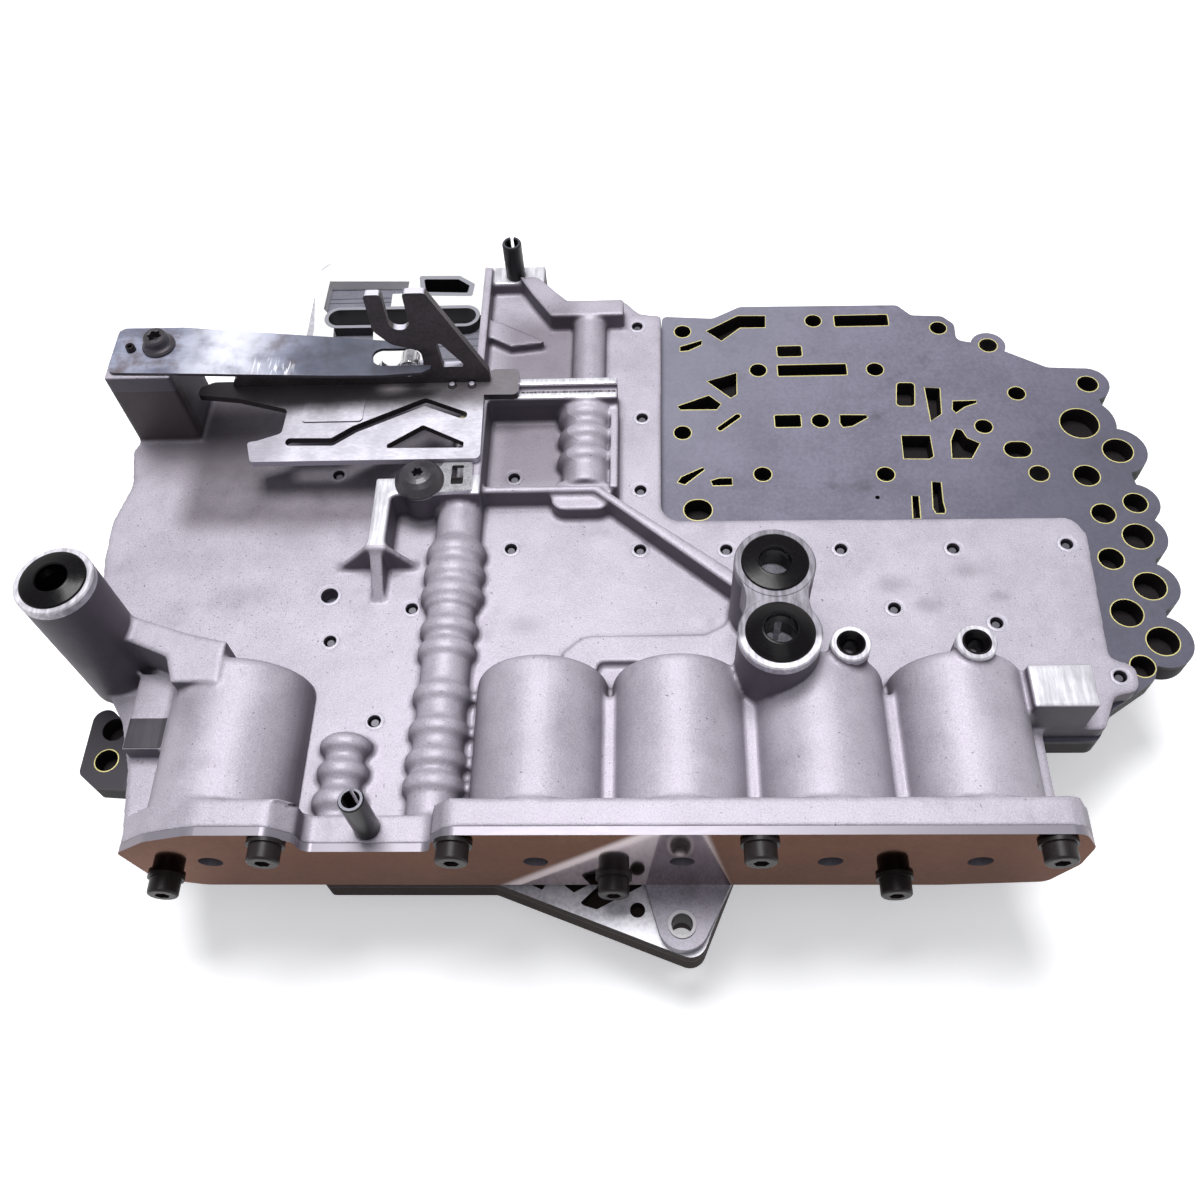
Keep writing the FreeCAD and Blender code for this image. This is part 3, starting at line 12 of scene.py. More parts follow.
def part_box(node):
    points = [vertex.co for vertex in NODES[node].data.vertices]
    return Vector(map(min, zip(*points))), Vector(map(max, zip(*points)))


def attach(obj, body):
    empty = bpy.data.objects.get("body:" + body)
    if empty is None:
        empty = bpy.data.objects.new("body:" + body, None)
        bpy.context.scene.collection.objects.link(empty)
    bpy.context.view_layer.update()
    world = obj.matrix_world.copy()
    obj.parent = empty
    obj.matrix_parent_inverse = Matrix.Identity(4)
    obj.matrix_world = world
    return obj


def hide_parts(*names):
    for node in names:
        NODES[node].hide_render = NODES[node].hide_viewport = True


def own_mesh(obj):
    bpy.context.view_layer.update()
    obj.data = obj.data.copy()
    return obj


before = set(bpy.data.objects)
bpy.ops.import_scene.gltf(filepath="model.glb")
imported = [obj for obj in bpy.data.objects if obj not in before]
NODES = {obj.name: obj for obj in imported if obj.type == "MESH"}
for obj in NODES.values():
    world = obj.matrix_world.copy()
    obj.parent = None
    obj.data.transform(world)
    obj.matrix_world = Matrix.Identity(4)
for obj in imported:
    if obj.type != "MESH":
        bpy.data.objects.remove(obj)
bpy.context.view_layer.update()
MM = 0.001

# Places are written in millimetres from the cover's face and the middle of its four
# accumulators, as in the part's source, with heights from the floor
SHIFT = Vector((60, -95, 0))
DECK = 57.5
ACCUMULATORS = range(1, 6)


def at(x, y, z):
    """A place in metres from millimetres counted from the cover."""
    return (Vector((x, y, z)) + SHIFT) * MM


# Shader building

class Value:
    """A shader output that combines with numbers and with other outputs."""

    def __init__(self, shader, socket):
        self.shader = shader
        self.socket = socket

    def _math(self, kind, first, second):
        return self.shader.node("Math", {"operation": kind}, {0: first, 1: second})

    def __add__(self, other):
        return self._math("ADD", self, other)

    __radd__ = __add__

    def __mul__(self, other):
        return self._math("MULTIPLY", self, other)

    __rmul__ = __mul__

    def __sub__(self, other):
        return self._math("SUBTRACT", self, other)

    def __rsub__(self, other):
        return self._math("SUBTRACT", other, self)

    def __pow__(self, other):
        return self._math("POWER", self, other)

    def __lt__(self, other):
        return self._math("LESS_THAN", self, other)

    def __gt__(self, other):
        return self._math("GREATER_THAN", self, other)

    def clamp(self, low=0, high=1):
        """The value held between two limits."""
        return self._math("MINIMUM", self._math("MAXIMUM", self, low), high)

    def fade(self, start, end):
        """Zero at start, one at end, smooth between."""
        return self.shader.node("MapRange", {"interpolation_type": "SMOOTHSTEP"},
                                {0: self, 1: start, 2: end, 3: 0, 4: 1})


class Shader:
    """A procedural material in the making, or the world's tree."""

    def __init__(self, name=None, tree=None):
        if tree is None:
            self.material = bpy.data.materials.new(name)
            self.material.use_nodes = True
            tree = self.material.node_tree
            tree.nodes.clear()
        self.tree = tree

    def feed(self, socket, value):
        """Links an output to a socket, or sets the socket to a number or a colour."""
        if isinstance(value, Value):
            self.tree.links.new(value.socket, socket)
        elif isinstance(value, (int, float)):
            socket.default_value = value
        else:
            socket.default_value = (*value, 1)

    def node(self, kind, settings=None, inputs=None, output=0):
        """Adds a node and gives back one of its outputs."""
        node = self.tree.nodes.new("ShaderNode" + kind)
        for name, value in (settings or {}).items():
            setattr(node, name, value)
        for key, value in (inputs or {}).items():
            if isinstance(value, Value):
                self.tree.links.new(value.socket, node.inputs[key])
            else:
                node.inputs[key].default_value = value
        return Value(self, node.outputs[output])

    def place(self, stretch=(1, 1, 1)):
        """Object coordinates, in millimetres times the stretch."""
        coords = self.node("TexCoord", output="Object")
        return self.node("Mapping", None, {0: coords, 3: [v / MM for v in stretch]})

    def noise(self, size, detail=3, rough=0.55, stretch=(1, 1, 1)):
        """Cloudy noise, 0 to 1, its features about size millimetres across."""
        return self.node("TexNoise", None, {"Vector": self.place(stretch), "Scale": 1 / size,
                                            "Detail": detail, "Roughness": rough})

    def axis(self, letter):
        """One object coordinate in metres."""
        coords = self.node("TexCoord", output="Object")
        return self.node("SeparateXYZ", None, {0: coords}, letter)

    def facing(self, letter):
        """One part of the surface's own direction in object space."""
        normal = self.node("TexCoord", output="Normal")
        return self.node("SeparateXYZ", None, {0: normal}, letter)

    def near(self, letter, middle, reach):
        """One where an object coordinate lies within reach of a middle, in metres."""
        return self.node("Math", {"operation": "COMPARE"},
                         {0: self.axis(letter), 1: middle, 2: reach})

    def mix(self, first, second, factor):
        """One colour to another by a factor."""
        node = self.tree.nodes.new("ShaderNodeMix")
        node.data_type = "RGBA"
        for index, value in ((0, factor), (6, first), (7, second)):
            self.feed(node.inputs[index], value)
        return Value(self, node.outputs[2])

    def bump(self, height, depth):
        """A bump of the given depth in millimetres."""
        return self.node("Bump", None, {"Height": height, "Distance": depth * MM,
                                        "Strength": 1.0})

    def shown(self):
        """One for what the camera sees, directly or in a reflection, and zero for light."""
        rays = [self.node("LightPath", output=f"Is {kind} Ray")
                for kind in ("Camera", "Glossy", "Transmission")]
        return (rays[0] + rays[1] + rays[2]).clamp()

    def finish(self, **sockets):
        """Closes the material with a principled surface."""
        surface = self.tree.nodes.new("ShaderNodeBsdfPrincipled")
        for name, value in sockets.items():
            self.feed(surface.inputs[name.replace("_", " ")], value)
        end = self.tree.nodes.new("ShaderNodeOutputMaterial")
        self.tree.links.new(surface.outputs[0], end.inputs[0])
        return self.material


# Materials

def tone_of(shader, dark, light, *noises):
    """A colour between two tones by the mean of some noises."""
    share = noises[0]
    for noise in noises[1:]:
        share = share + noise
    return shader.mix(dark, light, (share * (1 / len(noises))).fade(0.34, 0.66))


# Blur of a mask that only softens its edge, in millimetres
SHARP = 0.02


def within(shader, low, high, blur=SHARP):
    """One inside a box given in cover places, fading to zero at its upright sides over a blur
    in millimetres."""
    inside = 1
    for letter, first, last, edge in zip("XYZ", at(*low), at(*high), (blur, blur, SHARP)):
        here = shader.axis(letter)
        inside = ((here - first).fade(0, edge * MM) * (last - here).fade(0, edge * MM)
                  * inside)
    return inside


def distance(shader, x, y, squeeze=1):
    """How far the surface lies from an upright line, in metres, squeezed along Y."""
    middle = at(x, y, 0)
    across = shader.axis("X") - middle.x
    along = (shader.axis("Y") - middle.y) * squeeze
    return (across * across + along * along) ** 0.5


def disc(shader, x, y, radius, low, high):
    """One inside an upright cylinder, zero outside."""
    height = shader.axis("Z")
    return ((distance(shader, x, y) < radius * MM)
            * (height > low * MM) * (height < high * MM))


# Parts of the casting as boxes in cover places, each a low and a high corner. Painted shade
# darkens the deck under the selector and beside the spring block, the bay in the deck's rear
# corner and the spring block's sides, and paints the opening under the keeper's slot black.
SHADE_UNDER_SELECTOR = ((-200, 114, DECK - 4), (-82, 186, DECK + 3))
SHADE_BY_SPRING_BLOCK = ((-222, 136, DECK - 4), (-160, 194, DECK + 3))
SHADED_BAY = ((-92, 128, DECK - 4), (-48, 224, DECK + 9))
SPRING_BLOCK = ((-222, 152, 45), (-184, 166, 84))
LEFT_DECK = ((-220, 60, DECK - 3), (-100, 160, DECK + 1))
KEEPER_SLOT_SHADE = ((-96.8, 126.5, DECK - 1), (-91.8, 135.5, DECK + 13.4))
GROOVE = ((-91, 168.2, DECK + 12), (-40, 172.6, DECK + 13.2))
LEFT_PAD = ((-190.2, 33.5, 64), (-177, 43.6, 65))
MILLED = [
    ((-91, 165, DECK + 12.3), (-40, 168.2, DECK + 13.2)),
    ((-91, 172.6, DECK + 12.3), (-40, 176, DECK + 13.2)),
    ((-92.3, 231.8, 62.5), (-69.8, 241.4, 63.5)),
    ((82.4, 41.9, DECK + 14.6), (101, 55.4, DECK + 15.4)),
    ((-122.8, 103.5, DECK + 12.2), (-116.2, 132, DECK + 13.3)),
    ((-122.8, 123.8, DECK + 12.2), (-86, 132, DECK + 13.3)),
    GROOVE,
    LEFT_PAD,
]
# Faced rims and bored mouths of the ports: place, radius, and lowest and highest level
FACED_RIMS = [(8, 57.2, 12.1, 89.3, 90.6), (8, 81.4, 12.1, 89.3, 90.6),
              (-200.5, 66.3, 11.6, 107.3, 108.6), (29.5, 58.5, 5.9, 80.3, 81.5),
              (66, 58.5, 5.9, 80.3, 81.5)]
BORED_MOUTHS = [(8, 57.2, 6, 60, 81), (8, 81.4, 6, 60, 81)]
# Smudges of the deck: place, size in millimetres and strength
SMUDGES = [(49.4, 94, 8, 0.35), (59.9, 85.4, 7, 0.4), (74.7, 99.1, 8, 0.35),
           (83.7, 88.9, 5, 0.3), (-70.8, 79.8, 10, 0.25), (-150, 118, 20, 0.3),
           (-168, 92, 14, 0.2)]
SMUDGE_SQUEEZE = 1.6
SMUDGE_FRAY = 3


def sum_of(masks):
    """The sum of some masks."""
    whole = 0
    for mask in masks:
        whole = mask + whole
    return whole


def cast_surface(shader, cloud, patch, grain, lower):
    """The casting's raw tone: grain, stains, smudges and specks, with painted highlights on
    edges and painted shade in crevices and shaded places.
    """
    fine = shader.noise(0.28, 2, 0.6)
    stain = shader.noise(15, 5, 0.65).fade(0.56, 0.72)
    speck = shader.noise(1.1, 2, 0.5).fade(0.70, 0.75)
    flecks = shader.noise(0.7, 2, 0.5).fade(0.66, 0.70)
    corner = shader.node("NewGeometry", output="Pointiness")
    shaded_block_sides = within(shader, *SPRING_BLOCK, 3) * lower
    tone = tone_of(shader, (0.375, 0.345, 0.405), (0.565, 0.527, 0.605),
                   cloud, patch, grain, grain)
    layers = [
        ((0.20, 0.18, 0.21), fine.fade(0.56, 0.70) * 0.35),
        ((0.80, 0.78, 0.86), fine.fade(0.42, 0.32) * 0.22),
        # Painted highlight: sharp edges lighter
        ((0.76, 0.74, 0.83), corner.fade(0.53, 0.60) * 0.85),
        ((0.30, 0.27, 0.33), stain * 0.4),
        # Painted shade under the selector, patchy
        ((0.075, 0.062, 0.075),
         within(shader, *SHADE_UNDER_SELECTOR, 12) * (0.42 + 0.55 * patch).clamp(0, 0.85)),
        # Painted shade on the deck beside the spring block
        ((0.10, 0.085, 0.10), within(shader, *SHADE_BY_SPRING_BLOCK, 18) * 0.7),
        # Painted shade in the bay in the deck's rear corner
        ((0.14, 0.12, 0.145), within(shader, *SHADED_BAY, 14) * 0.62),
        # Painted shade: steep sides darker
        ((0.075, 0.062, 0.082), lower * 0.90),
        # Painted shade on the spring block's sides, dark brown
        ((0.045, 0.032, 0.030), shaded_block_sides * (0.4 + 0.6 * cloud)),
        # Painted shade: crevices darker
        ((0.045, 0.035, 0.045), corner.fade(0.480, 0.40) * 0.9),
        ((0.09, 0.075, 0.09), speck * 0.7),
    ]
    for x, y, size, share in SMUDGES:
        near = distance(shader, x, y, SMUDGE_SQUEEZE) + SMUDGE_FRAY * MM * (patch - 0.5)
        layers.append(((0.15, 0.135, 0.16), near.fade(size * MM, 0) * share))
    layers.append(((0.12, 0.10, 0.12), flecks * within(shader, *LEFT_DECK, 20) * 0.7))
    for colour, share in layers:
        tone = shader.mix(tone, colour, share)
    return tone


def cast_aluminium():
    """Die-cast aluminium: fine grain, stains and specks, with painted shade on its steep sides,
    milled on its faces."""
    shader = Shader("cast_aluminium")
    cloud = shader.noise(34, 4, 0.6)
    patch = shader.noise(9, 4, 0.6)
    grain = shader.noise(0.5, 3, 0.7)
    pits = shader.noise(1.6, 2, 0.5)
    # How steep the surface is; it paints shade on the sides and makes them less metallic
    lower = shader.facing("Z").fade(0.86, 0.05)
    tone = cast_surface(shader, cloud, patch, grain, lower)
    up = shader.facing("Z") > 0.8
    faces = sum_of([within(shader, *box) for box in MILLED]
                   + [disc(shader, *rim) for rim in FACED_RIMS])
    milled = (faces * up + sum_of(disc(shader, *mouth) for mouth in BORED_MOUTHS)).clamp()
    marks = shader.noise(1.3, 3, 0.6, (1, 0.12, 1))
    hatch = shader.noise(0.9, 2, 0.5, (1, 0.1, 1)).fade(0.4, 0.6)
    blank = tone_of(shader, (0.56, 0.55, 0.60), (0.90, 0.89, 0.93), marks, marks, patch)
    blank = shader.mix(blank, (0.055, 0.050, 0.060), within(shader, *LEFT_PAD) * up * 0.97)
    blank = shader.mix(blank, shader.mix((0.07, 0.06, 0.07), (0.36, 0.34, 0.38), hatch),
                       within(shader, *GROOVE))
    tone = shader.mix(tone, blank, milled)
    # Painted shade: the opening under the keeper's slot painted black
    tone = shader.mix(tone, (0.008, 0.007, 0.008), within(shader, *KEEPER_SLOT_SHADE))
    rough = 0.40 + 0.18 * patch + 0.08 * grain - 0.16 * milled
    height = (grain * 0.6 + pits * 0.4) * (1 - milled) + marks * 0.3 * milled
    metal = 0.08 + 0.28 * (1 - lower) * (1 - milled) + 0.3 * milled
    return shader.finish(Base_Color=tone, Metallic=metal, Roughness=rough,
                         Specular_IOR_Level=0.3, Normal=shader.bump(height, 0.14))


def machined_face():
    """Milled or drawn metal with fine parallel marks."""
    shader = Shader("machined_face")
    marks = shader.noise(1.2, 2, 0.5, (1, 14, 14))
    cloud = shader.noise(14, 3)
    tone = tone_of(shader, (0.50, 0.49, 0.53), (0.80, 0.79, 0.84), marks, cloud)
    return shader.finish(Base_Color=tone, Metallic=0.9, Roughness=marks * 0.16 + 0.25,
                         Normal=shader.bump(marks, 0.02))


def plain(name, colour, rough, metallic=0.0, grain=1.0, depth=0.03, vary=0.35, coat=0.0,
          crown=None, specular=0.5):
    """A moulded, painted or plated surface with a little tone and grain, its top face apart."""
    shader = Shader(name)
    cloud = shader.noise(grain * 12, 3)
    fine = shader.noise(grain, 3, 0.6)
    tone = tone_of(shader, [c * (1 - vary) for c in colour], colour, cloud, fine)
    if crown:
        tone = shader.mix(tone, crown, shader.facing("Z").fade(0.7, 0.95))
    return shader.finish(Base_Color=tone, Metallic=metallic,
                         Roughness=(fine * 0.2 + (rough - 0.1)).clamp(0.03, 1),
                         Coat_Weight=coat, Specular_IOR_Level=specular,
                         Normal=shader.bump(fine, depth))


DULL_PORTS = ((-8, 54, 70), (24, 100, 92))


def port_face():
    """Faced metal of the port rims: grey with tool marks at the large ports, else bright."""
    shader = Shader("port_face")
    marks = shader.noise(1.1, 3, 0.6, (1, 0.08, 1))
    cloud = shader.noise(6, 3)
    dull = tone_of(shader, (0.10, 0.092, 0.11), (0.27, 0.255, 0.30), marks, marks, cloud)
    clean = tone_of(shader, (0.40, 0.38, 0.43), (0.80, 0.78, 0.84), cloud, marks)
    tone = shader.mix(clean, dull, within(shader, *DULL_PORTS, 3) * 0.92)
    return shader.finish(Base_Color=tone, Metallic=0.3, Roughness=0.36 + 0.16 * marks,
                         Normal=shader.bump(marks, 0.02))


# The part of the cover that keeps a bright mirror tone and mirrors the bright floor, where
# elsewhere a dark brown painted reflection stands: its foot's level, then for its left and right
# side the X at the foot and the lean, a share of the height above the foot
CLEAR_MIRROR_FOOT = 43
CLEAR_MIRROR_LEFT, LEFT_LEAN = -72, 0.97
CLEAR_MIRROR_RIGHT, RIGHT_LEAN = -6.3, -0.19


def mirror_steel():
    """Bright rolled steel plate that mirrors what lies before it, with a pale sheared edge, and
    a dark brown painted reflection save in one clear part.
    """
    shader = Shader("cover_steel")
    roll = shader.noise(1.2, 2, 0.5, (0.25, 1, 1))
    cloud = shader.noise(30, 3, 0.6)
    fine = shader.noise(1.6, 4, 0.7)
    # Painted reflection: dark brown tones for the brown surroundings in the mirror
    tone = tone_of(shader, (0.022, 0.009, 0.005), (0.056, 0.026, 0.016), cloud, fine)
    rise = shader.axis("Z") - CLEAR_MIRROR_FOOT * MM
    left = shader.axis("X") - (rise * LEFT_LEAN + at(CLEAR_MIRROR_LEFT, 0, 0).x)
    right = (rise * RIGHT_LEAN + at(CLEAR_MIRROR_RIGHT, 0, 0).x) - shader.axis("X")
    clear_mirror = left.fade(0, 5 * MM) * right.fade(0, 3 * MM)
    # In the clear part the plate keeps a bright mirror tone, so the real reflections show
    tone = shader.mix(tone, (0.62, 0.60, 0.64), clear_mirror * (0.65 + 0.3 * cloud).clamp())
    edge = shader.facing("Y") > -0.7
    tone = shader.mix(tone, (0.25, 0.235, 0.275), edge)
    return shader.finish(Base_Color=tone, Metallic=1.0 - 0.6 * edge,
                         Specular_Tint=(0.79, 0.66, 0.62),
                         Roughness=0.06 + roll * 0.06 + 0.3 * edge,
                         Normal=shader.bump(roll, 0.004))


# Where the plate starts to turn paler, to the left and to the back, and where its far left
# corner is painted dark as shade
PALE_FROM_X, PALE_FROM_Y, PALE_TURN = 70, 150, 0.7
SHADED_CORNER_X = -186


def gasket():
    """Slate-grey coated separator plate, darker and stained in places, with painted shade on its
    sides and far left corner.
    """
    shader = Shader("gasket")
    cloud = shader.noise(26, 4, 0.6)
    fibre = shader.noise(1.3, 4, 0.7)
    tone = tone_of(shader, (0.15, 0.142, 0.19), (0.225, 0.215, 0.285), cloud, fibre)
    stain = shader.noise(18, 4, 0.6).fade(0.58, 0.75)
    tone = shader.mix(tone, (0.085, 0.08, 0.105), stain * 0.6)
    start = at(PALE_FROM_X, PALE_FROM_Y, 0)
    pale = (start.x - shader.axis("X")) + (shader.axis("Y") - start.y) * PALE_TURN
    tone = shader.mix(tone, (0.27, 0.27, 0.33), pale.fade(30 * MM, 130 * MM) * 0.5)
    tone = shader.mix(tone, (0.075, 0.075, 0.105), pale.fade(20 * MM, -70 * MM) * 0.6)
    # Painted shade on the far left corner
    tone = shader.mix(tone, (0.028, 0.023, 0.028),
                      (at(SHADED_CORNER_X, 0, 0).x - shader.axis("X")).fade(0, 8 * MM) * 0.9)
    # Painted shade: the sides near black
    tone = shader.mix(tone, (0.014, 0.010, 0.012), shader.facing("Z") < 0.7)
    return shader.finish(Base_Color=tone, Roughness=0.5 + fibre * 0.15, Metallic=0.05,
                         Specular_IOR_Level=0.3, Normal=shader.bump(fibre, 0.03))


# The board's printed lines by their Y, half their width, and levels of its face and bead
PRINTED_LINES = (257.0, 251.8, 249.3, 243.5, 241.5, 231.1, 227.1, 223.2, 216.3, 209.0, 203.5)
LINE_HALF = 0.22
BOARD_TOP = 39
BEAD_LOW = 42


def contact_board():
    """Slate board of the range sensor, with fine printed lines, its walls painted black as
    shade.
    """
    shader = Shader("contact_board")
    fine = shader.noise(0.8, 3)
    tone = tone_of(shader, (0.150, 0.148, 0.185), (0.215, 0.212, 0.260), fine, shader.noise(9))
    lines = sum_of(shader.near("Y", at(0, y, 0).y, LINE_HALF * MM) for y in PRINTED_LINES)
    tone = shader.mix(tone, (0.030, 0.028, 0.040), lines * (shader.axis("Z") < BOARD_TOP * MM))
    bead = (shader.axis("Z") > BEAD_LOW * MM) * (shader.facing("Z") > 0.5)
    tone = shader.mix(tone, (0.30, 0.30, 0.34), bead)
    # Painted shade: walls black
    tone = shader.mix(tone, (0.008, 0.007, 0.009), shader.facing("Z") < 0.5)
    return shader.finish(Base_Color=tone, Roughness=0.5, Normal=shader.bump(fine, 0.02))


# The seam between the two layers of the frame's edge, and the floor of its rear hole, painted
# black as shade
SEAM_LEVEL, SEAM_HALF = 29.2, 0.3
HOLE_FLOOR_SHADE = ((-126.5, 246, 33), (-100, 261, 35))


def frame_plate():
    """Bright steel plate whose edge is painted dark brown as shade, with a paler seam between
    its two layers.
    """
    shader = Shader("frame_steel")
    cloud = shader.noise(20, 4, 0.6)
    fine = shader.noise(1.4, 3, 0.6)
    tone = tone_of(shader, (0.46, 0.45, 0.50), (0.74, 0.73, 0.77), cloud, fine)
    # Painted shade: the edge's sides dark brown, paler along the seam
    side = shader.facing("Z") < 0.6
    seam = shader.near("Z", SEAM_LEVEL * MM, SEAM_HALF * MM)
    brown = shader.mix((0.026, 0.017, 0.016), (0.10, 0.08, 0.075), seam)
    # Painted shade: the rear hole's floor black
    tone = shader.mix(tone, (0.012, 0.010, 0.012), within(shader, *HOLE_FLOOR_SHADE))
    return shader.finish(Base_Color=shader.mix(tone, brown, side), Metallic=0.15 * (1 - side),
                         Specular_IOR_Level=0.04, Roughness=0.26 + fine * 0.15 + 0.2 * side,
                         Normal=shader.bump(fine, 0.01))


# The leaf spring's bright middle, its dark right part and its scraped spot
BRIGHT_MIDDLE = ((-196, 130, 80), (-154, 220, 96))
DARK_RIGHT = ((-168, 120, 80), (-50, 240, 96))
SCRAPED = ((-168, 160, 86), (-150, 171, 96))


def tempered_leaf():
    """Blue-grey spring steel, bright along its middle, with streaks and scrapes, and painted
    shade on its edges.
    """
    shader = Shader("leaf_steel")
    streak = shader.noise(3.2, 4, 0.6, (0.12, 1, 1))
    cloud = shader.noise(13, 4, 0.6)
    tone = tone_of(shader, (0.17, 0.18, 0.25), (0.40, 0.42, 0.54), streak, cloud, cloud)
    bright = within(shader, *BRIGHT_MIDDLE, 20)
    tone = shader.mix(tone, (0.80, 0.81, 0.90), bright * cloud.fade(0.10, 0.62))
    brown = shader.noise(8, 3, 0.6).fade(0.45, 0.7)
    tone = shader.mix(tone, (0.15, 0.11, 0.11), brown * (1 - bright) * 0.7)
    right = within(shader, *DARK_RIGHT, 30)
    tone = shader.mix(tone, (0.055, 0.060, 0.085), right * (0.55 + 0.5 * streak).clamp())
    scrape = within(shader, *SCRAPED, 4)
    scratch = shader.noise(0.8, 2, 0.5, (1, 0.12, 1)).fade(0.54, 0.62)
    tone = shader.mix(tone, (0.85, 0.85, 0.90), scratch * scrape * 0.8)
    # Painted shade: the edges dark
    edge = shader.facing("Z") < 0.5
    tone = shader.mix(tone, (0.030, 0.026, 0.034), edge)
    return shader.finish(Base_Color=tone, Metallic=0.45, Roughness=0.34 + streak * 0.2,
                         Normal=shader.bump(streak, 0.01))


# Where the selector takes a painted dark reflection at the back and on the left, and where its
# cut-outs begin
DARK_REFLECTION_BACK_Y, DARK_REFLECTION_LEFT_X, CUTOUTS_Y = 154, -150, 139


def pressed_steel():
    """Pressed steel of the selector: satin, with painted dark reflection along its comb and on
    its left, and painted shade on the front walls of its cut-outs.
    """
    shader = Shader("selector_steel")
    cloud = shader.noise(16, 4, 0.6)
    marks = shader.noise(2, 3, 0.6, (1, 3, 9))
    tone = tone_of(shader, (0.54, 0.52, 0.59), (0.82, 0.80, 0.89), cloud, cloud, marks)
    fray = 8 * MM * (cloud - 0.5)
    back = (shader.axis("Y") - (at(0, DARK_REFLECTION_BACK_Y, 0).y + fray)).fade(0, 11 * MM)
    # Painted dark reflection at the back, along the comb
    tone = shader.mix(tone, (0.085, 0.070, 0.075), back * 0.85)
    left = (at(DARK_REFLECTION_LEFT_X, 0, 0).x - shader.axis("X")).fade(0, 14 * MM)
    # Painted dark reflection on the left
    tone = shader.mix(tone, (0.30, 0.28, 0.33), left * (1 - back) * 0.6)
    side = shader.facing("Z") < 0.5
    # Painted shade on the front-facing walls of the cut-outs
    shaded_slot_walls = (shader.axis("Y") > at(0, CUTOUTS_Y, 0).y) * (shader.facing("Y") < -0.1)
    walls = shader.mix((0.56, 0.54, 0.62), (0.030, 0.024, 0.028), shaded_slot_walls)
    tone = shader.mix(tone, walls, side)
    return shader.finish(Base_Color=tone, Metallic=0.3, Roughness=0.36 + marks * 0.2,
                         Normal=shader.bump(marks, 0.02))


CAST = cast_aluminium()
MACHINED = machined_face()
BRIGHT = plain("bright_steel", (0.78, 0.77, 0.80), rough=0.22, metallic=0.85, grain=0.8,
               depth=0.006)
BLACK_STEEL = plain("black_steel", (0.022, 0.017, 0.018), rough=0.42, grain=0.7, depth=0.02,
                    specular=0.22)
FORK_STEEL = plain("fork_steel", (0.085, 0.070, 0.078), rough=0.5, metallic=0.3, grain=1.2,
                   depth=0.02, vary=0.5, crown=(0.70, 0.68, 0.78))
SELECTOR = pressed_steel()
LEAF = tempered_leaf()
PIN_STEEL = plain("pin_steel", (0.022, 0.022, 0.024), rough=0.34, metallic=0.6, grain=0.6,
                  depth=0.01, crown=(0.10, 0.10, 0.12))
# The screw tips' lighter top face is a painted highlight on their flat ends
SCREW_TIP = plain("screw_tip", (0.035, 0.033, 0.038), rough=0.4, metallic=0.5, grain=0.8,
                  depth=0.01, crown=(0.13, 0.125, 0.145))
RUBBER = plain("rubber", (0.006, 0.005, 0.006), rough=0.22, depth=0.01, vary=0.3,
               specular=0.14)
WHITE = plain("white_plastic", (0.90, 0.90, 0.89), rough=0.45, grain=0.8, depth=0.01,
              vary=0.06)
BOARD = contact_board()
DARK_PLASTIC = plain("module_plastic", (0.030, 0.023, 0.020), rough=0.6, grain=0.9,
                     depth=0.05, specular=0.1)
YELLOW = plain("yellow_zinc", (0.66, 0.60, 0.42), rough=0.3, metallic=0.6, grain=1.2,
               depth=0.01)
RIM = plain("rim_lacquer", (0.80, 0.72, 0.30), rough=0.4, metallic=0.1, grain=0.6, depth=0.01,
            vary=0.15)
LUG_STEEL = plain("lug_steel", (0.30, 0.275, 0.335), rough=0.4, metallic=0.15, grain=0.9,
                  depth=0.05, vary=0.5)
RIM_FACE = port_face()
SCREW_BLACK = plain("screw_black", (0.050, 0.043, 0.052), rough=0.42, metallic=0.3, grain=0.9,
                    depth=0.01, vary=0.3, coat=0.2)
BUSH = plain("bush_steel", (0.045, 0.036, 0.034), rough=0.4, metallic=0.1, grain=0.8,
             depth=0.006, crown=(0.42, 0.41, 0.43), specular=0.1)
CARRIER = plain("carrier_plastic", (0.044, 0.031, 0.029), rough=0.6, grain=1.2, depth=0.02,
                vary=0.3, specular=0.04)
# The transfer plate's near-black tone is painted shade on its front walls
TRANSFER = plain("transfer_cast", (0.018, 0.014, 0.016), rough=0.6, depth=0.06, vary=0.4,
                 specular=0.15)
COVER = mirror_steel()
GASKET = gasket()
FRAME_STEEL = frame_plate()

NODE_LOOKS = {
    "separator_plate": GASKET, "transfer_plate": TRANSFER, "module_frame": FRAME_STEEL,
    "mounting_lug": LUG_STEEL, "lug_bush": BUSH, "solenoid_module": DARK_PLASTIC,
    "module_carrier": CARRIER, "accumulator_cover": COVER, "cover_bolts": BLACK_STEEL,
    "assembly_screws": SCREW_TIP, "check_balls": BRIGHT, "sensor_board": BOARD,
    "range_sensor_frame": WHITE, "short_valve_plug": MACHINED, "long_valve_plug": MACHINED,
    "short_valve_spring": BRIGHT, "long_valve_spring": BRIGHT, "detent_spring": LEAF,
    "roller_pin": BRIGHT, "detent_screw": BLACK_STEEL, "spring_locating_pin": BLACK_STEEL,
    "keeper_bracket": BRIGHT, "plate_screw": BLACK_STEEL, "front_port_seal": RUBBER,
    "rear_port_seal": RUBBER, "tube_seal": RUBBER, "small_port_seals": RUBBER,
    "front_roll_pin": PIN_STEEL, "rear_roll_pin": PIN_STEEL, "short_valve": MACHINED,
    "long_valve": MACHINED, "manual_valve": MACHINED, "manual_valve_pin": YELLOW,
    "selector_plate": SELECTOR, "shift_fork": FORK_STEEL, "fork_welds": FORK_STEEL,
    "detent_roller": BRIGHT, "valve_body_casting": CAST, "casting_tube_boss": CAST,
    "casting_port_boss": CAST,
}
